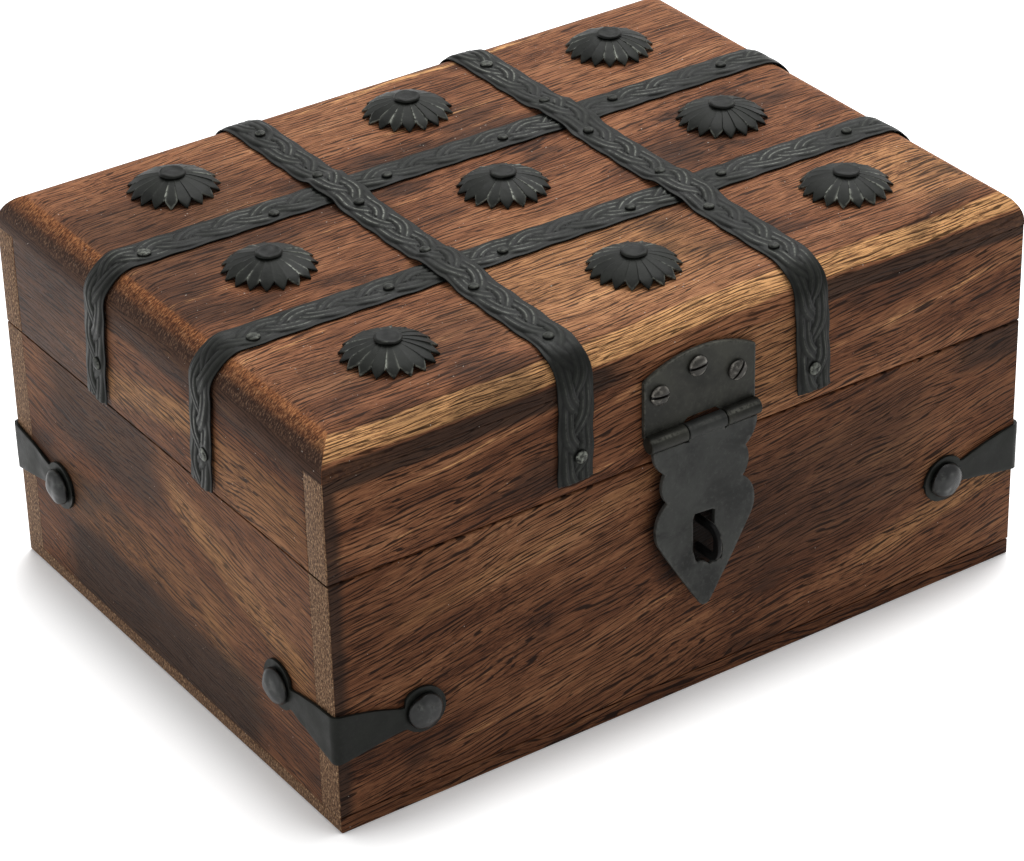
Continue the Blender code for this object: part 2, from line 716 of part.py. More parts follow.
def build_hasp_plate(carrier, board_behind):
    """The plate on the lid's front, with its three slotted screws and the hinge pin."""
    spans = knuckle_spans((BARREL_SPLIT_LEFT, BARREL_SPLIT_RIGHT), BARREL_HALF)
    top = BOX_TOP - TOP_ROUND - HASP_AXIS.z
    depths = (BARREL_OUT - REST_GAP, BARREL_OUT - REST_GAP - SHEET)
    outer = [spans[0], spans[2]]
    outline = plate_outline(outer, top)
    plate = rolled_leaf("hasp_plate", outline, outer, BARREL_HALF, depths, HASP_AXIS, carrier, BLACK_IRON)
    build_pin("hasp_pin", BARREL_HALF, HASP_AXIS, carrier)

    for side, (x, below, turn) in HASP_SCREWS.items():
        spot = (HASP_AXIS.x + x, -HALF.y, HASP_AXIS.z + top - below)
        mesh, slot = slotted_screw(turn)
        screw = add_piece(f"hasp_screw_{side}", mesh, carrier, SCREW_IRON, facing("front", spot))
        groove = add_helper(f"{screw.name}_slot", slot, carrier, facing("front", spot))
        add_boolean(screw, groove, "DIFFERENCE")
        radius = SCREW_SHANK_RADIUS + HOLE_GAP
        reach = REST_GAP + SHEET + CUT_MARGIN
        hole = drill(f"{screw.name}_hole", radius, SCREW_DEPTH + HOLE_GAP, reach, "front", spot, carrier)
        add_boolean(plate, hole, "DIFFERENCE")
        add_boolean(board_behind, hole, "DIFFERENCE")


def flap_outline(span):
    """The hanging flap: scalloped sides that run down to a blunt tip, and a tongue to its knuckle."""
    right = []
    start = (FLAP_HALF, LEAF_START)
    for through, end in FLAP_EDGE:
        right += arc(start, through, end, FLAP_ARC_STEPS)
        start = end
    right += [start, (FLAP_TIP_HALF, FLAP_LENGTH)]
    down = [(x, -drop) for x, drop in right]
    up = [(-x, z) for x, z in reversed(down)]
    inner = PIN_RADIUS + 2 * PIN_CLEARANCE
    return barrel_edge([span], -LEAF_START, -inner) + down + up


def build_hasp_flap(carrier):
    span = knuckle_spans((BARREL_SPLIT_LEFT, BARREL_SPLIT_RIGHT), BARREL_HALF)[1]
    back = BARREL_OUT - FLAP_STANDOFF
    depths = (back, back - SHEET)
    outline = flap_outline(span)
    flap = rolled_leaf("hasp_flap", outline, [span], BARREL_HALF, depths, HASP_AXIS, carrier, WORN_IRON)
    slot = [(x, back + CUT_MARGIN, -drop) for x, drop in FLAP_SLOT]
    mesh = extruded("slot", slot, (0, -SHEET - 2 * CUT_MARGIN, 0))
    cutter = add_helper("hasp_flap_slot", mesh, carrier, Matrix.Translation(HASP_AXIS))
    add_boolean(flap, cutter, "DIFFERENCE")


def build_staple(carrier, board_behind):
    """The loop for the padlock: a flat bar bent to a D, with both legs driven into the front board."""
    top = HASP_AXIS.z - STAPLE_EYE_TOP
    bottom = HASP_AXIS.z - STAPLE_EYE_BOTTOM
    x = HASP_X + STAPLE_RIGHT
    tip = -HALF.y - STAPLE_EYE_REACH
    inside = -HALF.y + STAPLE_DEPTH
    bend = STAPLE_EYE_BEND
    angles = [pi / 2 * step / BEND_STEPS for step in range(BEND_STEPS + 1)]
    lower = [(tip + bend - bend * sin(a), bottom + bend - bend * cos(a)) for a in angles]
    upper = [(y, top + bottom - z) for y, z in reversed(lower)]
    route = [Vector((x, y, z)) for y, z in [(inside, bottom)] + lower + upper + [(inside, top)]]
    across = Vector((-STAPLE_WIDTH / 2, 0, 0))
    sheet_strip("hasp_staple", route, across, carrier, WORN_IRON, STAPLE_THICKNESS)

    half = STAPLE_WIDTH / 2 + HOLE_GAP
    ends = (-HALF.y - CUT_MARGIN, inside + HOLE_GAP)
    slots = []
    for low, high in ((bottom - STAPLE_THICKNESS, bottom), (top, top + STAPLE_THICKNESS)):
        corners = ((x - half, ends[0], low - HOLE_GAP), (x + half, ends[1], high + HOLE_GAP))
        slots.append((block("leg_slot", *corners), Matrix()))
    add_boolean(board_behind, add_helper("staple_slots", gathered("slots", slots), carrier), "DIFFERENCE")


def build_hinge(side, base, lid):
    """A surface-mounted butt hinge on the back, its two screw heads fused to each leaf."""
    place = Vector((SIDE_SIGN[side] * FIELD_LENGTH, LID_AXIS.y, LID_AXIS.z))
    half = HINGE_WIDTH / 2
    spans = knuckle_spans((-half / 3, half / 3), half)
    depths = (REST_GAP - BARREL_OUT, REST_GAP + SHEET - BARREL_OUT)
    for leaf_name, owned, way, carrier in (
        ("base_leaf", [spans[0], spans[2]], -1, base),
        ("lid_leaf", [spans[1]], 1, lid),
    ):
        name = f"hinge_{side}_{leaf_name}"
        edge = barrel_edge(owned, way * LEAF_START, 0)
        far = way * (LEAF_START + HINGE_LEAF_HEIGHT)
        outline = [(-half, way * LEAF_START)] + edge + [(half, way * LEAF_START), (half, far), (-half, far)]
        leaf = rolled_leaf(name, outline, owned, half, depths, place, carrier, BLACK_IRON)

        head = shallow_head("rivet", HINGE_HEAD_RADIUS, HINGE_HEAD_HEIGHT, SHEET / 2)
        groove = SCREW_SLOT_WIDTH / 2
        low = (-HINGE_HEAD_RADIUS - CUT_MARGIN, -groove, HINGE_HEAD_HEIGHT / 4)
        high = (HINGE_HEAD_RADIUS + CUT_MARGIN, groove, HINGE_HEAD_HEIGHT + CUT_MARGIN)
        slot = block("slot", low, high)
        rise = way * (LEAF_START + HINGE_LEAF_HEIGHT / 2)
        face = HALF.y + REST_GAP + SHEET
        spots = [(place.x + sign * HINGE_HEAD_SPREAD, face, place.z + rise) for sign in (-1, 1)]
        heads = gathered("heads", [(head, facing("back", spot)) for spot in spots])
        slots = gathered("slots", [(slot, facing("back", spot)) for spot in spots])
        add_boolean(leaf, add_helper(f"{name}_heads", heads, carrier), "UNION")
        add_boolean(leaf, add_helper(f"{name}_slots", slots, carrier), "DIFFERENCE")
    build_pin(f"hinge_{side}_pin", half, place, base)


def main():
    clear_scene()
    base = pivot("base_frame", (0, 0, 0))
    lid = pivot("lid_pivot", LID_AXIS, base)
    flap = pivot("hasp_pivot", HASP_AXIS, lid)
    base_boards = build_base(base)
    lid_boards = build_lid(lid)
    build_straps(lid)
    build_rosettes(lid, lid_boards["top"])
    for row, column in BRACKET_LEVEL:
        build_bracket(row, column, base, base_boards)
    build_hasp_plate(lid, lid_boards["front"])
    build_hasp_flap(flap)
    build_staple(base, base_boards["front"])
    for side in ("left", "right"):
        build_hinge(side, base, lid)


main()
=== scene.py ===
import json
from math import atan2, cos, exp, hypot, pi, radians, sin, sqrt, tanh, tau

import bmesh
import bpy
from mathutils import Matrix, Vector, noise


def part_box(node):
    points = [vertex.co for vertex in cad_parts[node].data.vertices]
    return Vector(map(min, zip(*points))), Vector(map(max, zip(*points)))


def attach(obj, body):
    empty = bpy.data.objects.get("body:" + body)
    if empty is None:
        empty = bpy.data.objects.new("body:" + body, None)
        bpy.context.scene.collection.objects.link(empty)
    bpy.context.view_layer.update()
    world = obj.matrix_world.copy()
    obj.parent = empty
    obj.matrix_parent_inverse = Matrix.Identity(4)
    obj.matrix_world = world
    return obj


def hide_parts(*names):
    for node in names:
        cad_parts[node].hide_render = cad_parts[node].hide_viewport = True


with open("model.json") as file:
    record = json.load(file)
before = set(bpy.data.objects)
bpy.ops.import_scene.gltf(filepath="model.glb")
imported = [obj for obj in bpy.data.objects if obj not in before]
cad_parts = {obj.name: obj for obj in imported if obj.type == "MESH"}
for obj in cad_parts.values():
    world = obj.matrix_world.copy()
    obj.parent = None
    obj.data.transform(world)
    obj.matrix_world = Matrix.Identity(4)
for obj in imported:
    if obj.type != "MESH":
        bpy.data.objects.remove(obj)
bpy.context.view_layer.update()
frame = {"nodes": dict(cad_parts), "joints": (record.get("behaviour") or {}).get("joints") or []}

# Sizes in millimetres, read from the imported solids
METRE = 1000
LID_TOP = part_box("lid_top_panel")[1] * METRE
LID_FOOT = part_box("lid_front_panel")[0].z * METRE
HALF_LENGTH = LID_TOP.x
HALF_DEPTH = LID_TOP.y
TOP = LID_TOP.z
LID_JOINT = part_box("lid_top_panel")[0].z * METRE

# Radius of the roundover on the lid's four upper edges
ROUND = 9.0

UP, FORWARD, BACK, LEFT, RIGHT = (0, 0, 1), (0, -1, 0), (0, 1, 0), (-1, 0, 0), (1, 0, 0)


# Pieces are drawn in millimetres and shrunk to metres when they are finished

def finished(bm, name, body, look, stands_for=(), smooth=40):
    bmesh.ops.scale(bm, vec=(1 / METRE,) * 3, verts=bm.verts)
    mesh = bpy.data.meshes.new(name)
    bm.to_mesh(mesh)
    bm.free()
    mesh.shade_smooth()
    mesh.set_sharp_from_angle(angle=radians(smooth))
    mesh.materials.append(look)
    piece = bpy.data.objects.new(name, mesh)
    bpy.context.scene.collection.objects.link(piece)
    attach(piece, body)
    if stands_for:
        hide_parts(*stands_for)
    return piece


def ribbon(bm, columns, rows, place):
    """A sheet laid out by place(u, v), with u along it and v across it, both from 0 to 1.

    place says where each point is, how worn it is and what highlight and shade is painted on it.
    """
    bmesh.ops.create_grid(bm, x_segments=columns, y_segments=rows, size=0.5)
    layer = bm.verts.layers.float.new("wear_and_painted_light")
    for vert in bm.verts:
        vert.co, vert[layer] = place(vert.co.x + 0.5, vert.co.y + 0.5)


def spun(bm, profile, steps):
    """A line of (radius, height) points, spun once about Z."""
    points = [bm.verts.new((radius, 0, height)) for radius, height in profile]
    lines = [bm.edges.new(pair) for pair in zip(points, points[1:])]
    bmesh.ops.spin(bm, geom=points + lines, axis=UP, cent=(0, 0, 0), angle=tau, steps=steps, use_merge=True)


def turned(bm, profile, steps):
    """A round solid about Z, from a profile that runs from axis to axis."""
    spun(bm, profile, steps)
    bmesh.ops.remove_doubles(bm, verts=bm.verts, dist=1e-4)
    bmesh.ops.recalc_face_normals(bm, faces=bm.faces)


def soften(bm, edges, width, segments=2):
    """Bevels edges and gives the new faces."""
    made = bmesh.ops.bevel(
        bm, geom=edges, offset=width, segments=segments, profile=0.5, affect="EDGES", material=-1)
    return made["faces"]


def face_towards(bm, way):
    """Makes the faces of an open sheet agree and look along a direction."""
    bmesh.ops.recalc_face_normals(bm, faces=bm.faces)
    if sum(face.normal.dot(Vector(way)) for face in bm.faces) < 0:
        bmesh.ops.reverse_faces(bm, faces=bm.faces)


def push_out(bm, way):
    """Makes a flat sheet a solid by pushing it out, softens its rim and gives the rim's new faces."""
    made = bmesh.ops.extrude_face_region(bm, geom=bm.faces[:], use_keep_orig=True)
    moved = [item for item in made["geom"] if isinstance(item, bmesh.types.BMVert)]
    bmesh.ops.translate(bm, verts=moved, vec=way)
    bmesh.ops.recalc_face_normals(bm, faces=bm.faces)
    return soften(bm, [edge for edge in bm.edges if edge.calc_face_angle(0) > radians(60)], 0.22)


def slice_through(bm, spot, way):
    """Cuts new edges into a mesh along a plane."""
    geom = bm.verts[:] + bm.edges[:] + bm.faces[:]
    bmesh.ops.bisect_plane(bm, geom=geom, dist=1e-4, plane_co=spot, plane_no=way)


def thicken(piece, thickness):
    """Gives an open sheet its thickness, inwards from the face that shows."""
    skin = piece.modifiers.new("sheet", "SOLIDIFY")
    skin.thickness = thickness / METRE
    skin.offset = -1


def seat(out, spot, turn=0):
    """Places what was drawn with +Z as its way out of the surface."""
    out = Vector(out)
    across = Vector(RIGHT) if abs(out.z) > 0.5 else Vector(UP).cross(out)
    basis = Matrix((across, out.cross(across), out)).transposed().to_4x4()
    return Matrix.Translation(spot) @ basis @ Matrix.Rotation(turn, 4, "Z")


def absorb(bm, other):
    """Adds a finished shape to a mesh that is being built."""
    mesh = bpy.data.meshes.new("part")
    other.to_mesh(mesh)
    other.free()
    bm.from_mesh(mesh)
    bpy.data.meshes.remove(mesh)


def off_axis(vert):
    return hypot(vert.co.x, vert.co.y)


def swell(distance, width):
    """1 at no distance, falling smoothly to 0 over a few widths."""
    return exp(-(distance / width) ** 2)


def ruffle(vert, scale, seed=0):
    """Uneven height between -1 and 1 at a point, for hammered metal."""
    return noise.noise(vert.co * scale + Vector((seed, 7.3 * seed, 0)))


# Material nodes

def join(tree, node, inputs):
    """Sets a node's inputs, each to a value or to what another node gives."""
    for key, value in inputs.items():
        if isinstance(value, bpy.types.NodeSocket):
            tree.links.new(value, node.inputs[key])
        else:
            node.inputs[key].default_value = value


def add(tree, kind, inputs=(), **settings):
    made = tree.nodes.new(f"ShaderNode{kind}")
    for key, value in settings.items():
        setattr(made, key, value)
    join(tree, made, dict(inputs))
    return made


def sums(tree, operation, first, second=0.0, third=0.0):
    return add(tree, "Math", {0: first, 1: second, 2: third}, operation=operation).outputs[0]


def stretch(tree, vector, scale):
    return add(tree, "VectorMath", {0: vector, 1: scale}, operation="MULTIPLY").outputs[0]


def clouds(tree, vector, scale=1.0, detail=2.0, rough=0.5, twist=0.0):
    inputs = {"Vector": vector, "Scale": scale, "Detail": detail, "Roughness": rough, "Distortion": twist}
    return add(tree, "TexNoise", inputs).outputs["Fac"]


def between(tree, value, low, high, start=0.0, end=1.0):
    """A smooth step from start to end as a value goes from low to high."""
    inputs = {"Value": value, "From Min": low, "From Max": high, "To Min": start, "To Max": end}
    return add(tree, "MapRange", inputs, interpolation_type="SMOOTHSTEP").outputs["Result"]


def mixed(tree, amount, first, second):
    return add(tree, "Mix", {0: amount, 6: first, 7: second}, data_type="RGBA").outputs[2]


def graded(tree, value, stops):
    """A colour read from (position, colour) stops."""
    ramp = add(tree, "ValToRGB", {"Fac": value})
    elements = ramp.color_ramp.elements
    elements[0].position, elements[0].color = stops[0][0], (*stops[0][1], 1)
    elements[1].position, elements[1].color = stops[-1][0], (*stops[-1][1], 1)
    for position, colour in stops[1:-1]:
        elements.new(position).color = (*colour, 1)
    return ramp.outputs["Color"]


def tinted(colour, tone):
    return tuple(tone * channel for channel in colour)


def new_look(name):
    look = bpy.data.materials.new(name)
    look.use_nodes = True
    return look, look.node_tree, look.node_tree.nodes["Principled BSDF"]


# Stained heartwood from its darkest to its lightest fibres, and what breaks its colour
HEARTWOOD = ((0.34, (0.034, 0.013, 0.008)), (0.43, (0.082, 0.031, 0.015)), (0.50, (0.140, 0.056, 0.027)),
             (0.57, (0.205, 0.089, 0.043)), (0.68, (0.34, 0.170, 0.085)))
SAPWOOD = (0.50, 0.265, 0.112)
BURNT_STAIN = (0.036, 0.022, 0.016, 1)
OPEN_PORE = (0.009, 0.004, 0.0025, 1)
# Near black for the painted shadow behind the hasp's flap
PAINTED_SHADOW_BLACK = (0.0035, 0.0025, 0.002, 1)
DUST = (0.60, 0.53, 0.46, 1)

# End grain where a board is sawn across, where it is rounded over, and the torn fibres just before that
SAWN_END = ((0.38, (0.050, 0.026, 0.015)), (0.54, (0.205, 0.115, 0.066)), (0.70, (0.60, 0.40, 0.23)))
ROUNDED_END = ((0.38, (0.022, 0.011, 0.008)), (0.54, (0.060, 0.030, 0.019)), (0.70, (0.24, 0.145, 0.090)))
TORN_FIBRES = ((0.38, (0.045, 0.015, 0.007)), (0.5, (0.22, 0.075, 0.028)), (0.64, (0.56, 0.25, 0.10)))

# Each board is cut this many millimetres further along the log than the one before
BOARD_STEP = 131.7


class Timber:
    """Dark stained timber on Object coordinates, with a colour and a height for the surface.

    A mark is a place where the sapwood shows gold or the stain burnt dark: its kind, its strength, and the
    bands that cross there. A band is the way that it is measured along, its middle and half width in
    millimetres, how softly it ends and how far it waves. The pores of an arched board lean away from its
    middle.
    """

    def __init__(self, tree, grain, face, seed, tone=1.0, gold=0.5, dark=0.5, figure=0.3, hatch=0.92,
                 arched=False, marks=()):
        self.tree = tree
        grain = Vector(grain).normalized()
        face = (Vector(face) - grain * Vector(face).dot(grain)).normalized()
        self.place = add(tree, "TexCoord").outputs["Object"]
        own = [self.distance(axis) for axis in (grain, face.cross(grain), face)]
        local = add(tree, "CombineXYZ", {"X": own[0], "Y": own[1], "Z": own[2]}).outputs[0]
        local = self.moved(local, (seed * BOARD_STEP, 0, 0))

        # The log's slow wander bends all that follows the grain
        slow = stretch(tree, local, (0.011, 0.028, 0.028))
        wander = add(tree, "TexNoise", {"Vector": slow, "Scale": 1.0, "Detail": 2.0}).outputs["Color"]
        shift = self.moved(wander, (-0.5, -0.5, -0.5))
        bent = self.moved(local, stretch(tree, shift, (0, 12, 12)))

        def drawn_out(along, across, detail, rough, aside=0):
            """Clouds drawn out along the grain, from a place that lies aside in the log."""
            spot = self.moved(bent, (0, aside, 0)) if aside else bent
            return clouds(tree, stretch(tree, spot, (along, across, across)), detail=detail, rough=rough)

        self.patches = drawn_out(0.018, 0.042, 3, 0.6)
        streaks = drawn_out(0.010, 0.20, 2.5, 0.55)
        fibres = drawn_out(0.10, 2.7, 3, 0.75)

        # Open pores: thin dark lines that follow the grain for a few millimetres, and short dashes between
        drift = drawn_out(0.05, 0.45, 2.5, 0.5, aside=90)
        apart = add(tree, "SeparateXYZ", {"Vector": bent}).outputs
        side = sums(tree, "MULTIPLY", sums(tree, "ABSOLUTE", apart["Y"]), -1.0) if arched else apart["Y"]
        rows = sums(tree, "MULTIPLY_ADD", side, 0.88, sums(tree, "MULTIPLY", apart["Z"], 0.60))
        rows = sums(tree, "PINGPONG", sums(tree, "MULTIPLY_ADD", drift, 3.0, rows), 0.5)
        breaks = drawn_out(0.09, 0.9, 2, 0.5, aside=140)
        lines = sums(tree, "MULTIPLY", between(tree, rows, 0.215, 0.105), between(tree, breaks, 0.37, 0.49))
        dashes = drawn_out(0.16, 2.9, 2, 0.55, aside=40)
        dashes = sums(tree, "MULTIPLY_ADD", sums(tree, "SUBTRACT", streaks, 0.5), -0.10, dashes)
        pores = sums(tree, "MAXIMUM", lines, between(tree, dashes, 0.565, 0.600, 0, 0.55))

        body = sums(tree, "MULTIPLY_ADD", streaks, figure, sums(tree, "MULTIPLY", fibres, 0.48))
        body = sums(tree, "SUBTRACT", body, figure / 2 - 0.085)
        body = sums(tree, "MULTIPLY_ADD", self.patches, 0.38, body)
        colour = graded(tree, body, [(stop, tinted(tint, tone)) for stop, tint in HEARTWOOD])

        # Sapwood and burnt stain, where the log happens to have them and where a mark puts them
        glow = sums(tree, "MULTIPLY_ADD", fibres, 0.5, streaks)
        glow = between(tree, glow, 0.97 - 0.17 * gold, 1.08 - 0.17 * gold)
        burnt = between(tree, self.patches, 0.46 - 0.1 * dark, 0.34 - 0.1 * dark, 0, 0.6)
        threads = between(tree, fibres, 0.42, 0.53, 0.28, 1)
        for kind, strength, *bands in marks:
            amount = self.crossing(strength, bands)
            if kind == "burnt":
                burnt = sums(tree, "MAXIMUM", burnt, amount)
            else:
                glow = sums(tree, "MAXIMUM", glow, sums(tree, "MULTIPLY", amount, threads))
        colour = mixed(tree, glow, colour, (*tinted(SAPWOOD, tone), 1))
        colour = mixed(tree, burnt, colour, BURNT_STAIN)
        self.colour = mixed(tree, sums(tree, "MULTIPLY", pores, hatch), colour, OPEN_PORE)
        self.height = sums(tree, "MULTIPLY_ADD", pores, -1.0, sums(tree, "MULTIPLY", fibres, 0.8))
        self.fibres = fibres

    def distance(self, way):
        """Millimetres along a direction."""
        way = Vector(way).normalized() * METRE
        return add(self.tree, "VectorMath", {0: self.place, 1: way}, operation="DOT_PRODUCT").outputs["Value"]

    def crossing(self, strength, bands):
        """A mark's strength where all its bands cross, and 0 outside them."""
        amount = strength
        for way, middle, half, soft, wave in bands:
            wavy = sums(self.tree, "MULTIPLY_ADD", self.patches, wave, self.distance(way))
            off = sums(self.tree, "ABSOLUTE", sums(self.tree, "SUBTRACT", wavy, middle + wave / 2))
            amount = sums(self.tree, "MULTIPLY", amount, between(self.tree, off, half + soft, half))
        return amount

    def moved(self, vector, offset):
        return add(self.tree, "VectorMath", {0: vector, 1: offset}, operation="ADD").outputs[0]


def stained_wood(name, across=None, shade_behind_flap=None, ends=False, sheen=0.07, **cut):
    """A board's finish; across is the cut seen where its ends turn over, and the oval behind the hasp's flap
    a painted shadow, its soft edge also a patch rubbed black.
    """
    look, tree, shader = new_look(name)
    wood = Timber(tree, **cut)
    colour, height = wood.colour, wood.height
    coords = add(tree, "TexCoord").outputs
    place = coords["Object"]
    if across or ends:
        turned_away = add(tree, "VectorMath", {0: coords["Normal"], 1: RIGHT}, operation="DOT_PRODUCT")
        tilt = sums(tree, "ABSOLUTE", turned_away.outputs["Value"])
        strokes = clouds(tree, stretch(tree, place, (700, 2300, 1200)), detail=3, rough=0.75)
        if across:
            torn = graded(tree, strokes, TORN_FIBRES)
            colour = mixed(tree, between(tree, tilt, 0.12, 0.42, 0, 0.75), colour, torn)
        dots = graded(tree, strokes, ROUNDED_END if across else SAWN_END)
        colour = mixed(tree, between(tree, tilt, 0.50, 0.78), colour, dots)
        rougher = sums(tree, "SUBTRACT", strokes, height)
        height = sums(tree, "MULTIPLY_ADD", rougher, between(tree, tilt, 0.1, 0.4), height)
    if across:
        colour = mixed(tree, between(tree, tilt, 0.84, 0.97), colour, Timber(tree, **across).colour)
    # Painted shadow behind the hasp's flap and its slot: an oval of the wood darkened to near black, fading
    # out softly, partly a patch rubbed black by the flap
    if shade_behind_flap:
        (x, y, z), reach, squash = shade_behind_flap
        oval = stretch(tree, place, (METRE, METRE, squash * METRE))
        off = add(tree, "VectorMath", {0: oval, 1: (x, y, squash * z)}, operation="DISTANCE")
        off = sums(tree, "MULTIPLY_ADD", wood.patches, 8.0, off.outputs["Value"])
        rubbed_and_painted_light = between(tree, off, reach + 4, reach * 0.55 + 4, 0, 0.97)
        colour = mixed(tree, rubbed_and_painted_light, colour, PAINTED_SHADOW_BLACK)
    specks = clouds(tree, stretch(tree, place, (1700, 1700, 1700)), detail=0)
    colour = mixed(tree, between(tree, specks, 0.855, 0.885, 0, 0.7), colour, DUST)

    bump = add(tree, "Bump", {"Height": height, "Distance": 0.00025, "Strength": 0.5}).outputs[0]
    gloss = between(tree, wood.fibres, 0.3, 0.7, 0.50, 0.68)
    join(tree, shader, {"Base Color": colour, "Roughness": gloss, "Normal": bump})
    join(tree, shader, {"Specular IOR Level": sheen})
    return look


# Near black for dulled iron and for painted shade in folds, gaps, slots and under heads
DULL_AND_SHADE_BLACK = (0.003, 0.003, 0.003, 1)


def blackened_iron(name, base, worn_and_highlight, rough=0.46, speckle=0.25, mottle=(0.70, 1.35), grain=120, gleam=0.12):
    """Blackened iron, mottled grey; its vertex attribute above 0 rubs it bright, also painting highlights,
    and below 0 dulls it and paints shade.
    """
    look, tree, shader = new_look(name)
    place = add(tree, "TexCoord").outputs["Object"]
    blotch = clouds(tree, place, grain, detail=4, rough=0.6, twist=0.4)
    fine = clouds(tree, place, 900, detail=4, rough=0.7)
    scratch = clouds(tree, stretch(tree, place, (2600, 500, 420)), detail=2, rough=0.6)
    wear_and_painted_light = add(tree, "Attribute", attribute_name="wear_and_painted_light").outputs["Fac"]

    dull, bright = ((*tinted(base, share), 1) for share in mottle)
    colour = mixed(tree, between(tree, blotch, 0.35, 0.68), dull, bright)
    colour = mixed(tree, between(tree, fine, 0.50, 0.72, 0, speckle), colour, (*tinted(base, 2.6), 1))
    # Painted shade: where the attribute is below 0, the iron goes towards near black
    colour = mixed(tree, between(tree, wear_and_painted_light, 0, -1, 0, 0.85), colour, DULL_AND_SHADE_BLACK)
    # Rubbed bright where the attribute is above 0, partly wear and partly painted highlight, and along
    # scratches
    patchy = sums(tree, "MULTIPLY", sums(tree, "MAXIMUM", wear_and_painted_light, 0), between(tree, fine, 0.36, 0.58))
    rubbed_and_painted_light = sums(tree, "MAXIMUM", patchy, between(tree, scratch, 0.75, 0.86, 0, 0.12))
    colour = mixed(tree, rubbed_and_painted_light, colour, (*worn_and_highlight, 1))

    height = sums(tree, "MULTIPLY_ADD", blotch, 1.6, sums(tree, "MULTIPLY", fine, 0.5))
    bump = add(tree, "Bump", {"Height": height, "Distance": 0.0002, "Strength": 0.3}).outputs[0]
    gloss = between(tree, blotch, 0.3, 0.7, rough - 0.08, rough + 0.10)
    gloss = sums(tree, "MULTIPLY_ADD", rubbed_and_painted_light, -0.1, gloss)
    join(tree, shader, {"Base Color": colour, "Roughness": gloss, "Normal": bump})
    join(tree, shader, {"Metallic": 0.2, "Specular IOR Level": gleam})
    return look


IRON = blackened_iron("black iron", (0.0112, 0.0122, 0.0104), (0.20, 0.21, 0.18))
STUD_IRON = blackened_iron(
    "burnished stud iron", (0.0050, 0.0056, 0.0051), (0.20, 0.21, 0.19), rough=0.32, gleam=0.4)
PLATE_IRON = blackened_iron(
    "mottled plate iron", (0.030, 0.030, 0.025), (0.20, 0.20, 0.17), mottle=(0.45, 1.6), grain=60)
FLAP_IRON = blackened_iron(
    "worn flap iron", (0.029, 0.030, 0.028), (0.20, 0.195, 0.175), speckle=0.32, mottle=(0.45, 1.6), grain=80)
# Darker than the other iron, as painted shade of the flap's slot that the loop sits in
SHADED_LOOP_IRON = blackened_iron("shaded loop iron", (0.003, 0.003, 0.003), (0.30, 0.29, 0.26))
SCREW_IRON = blackened_iron("rubbed screw iron", (0.045, 0.042, 0.037), (0.36, 0.34, 0.30), rough=0.4)

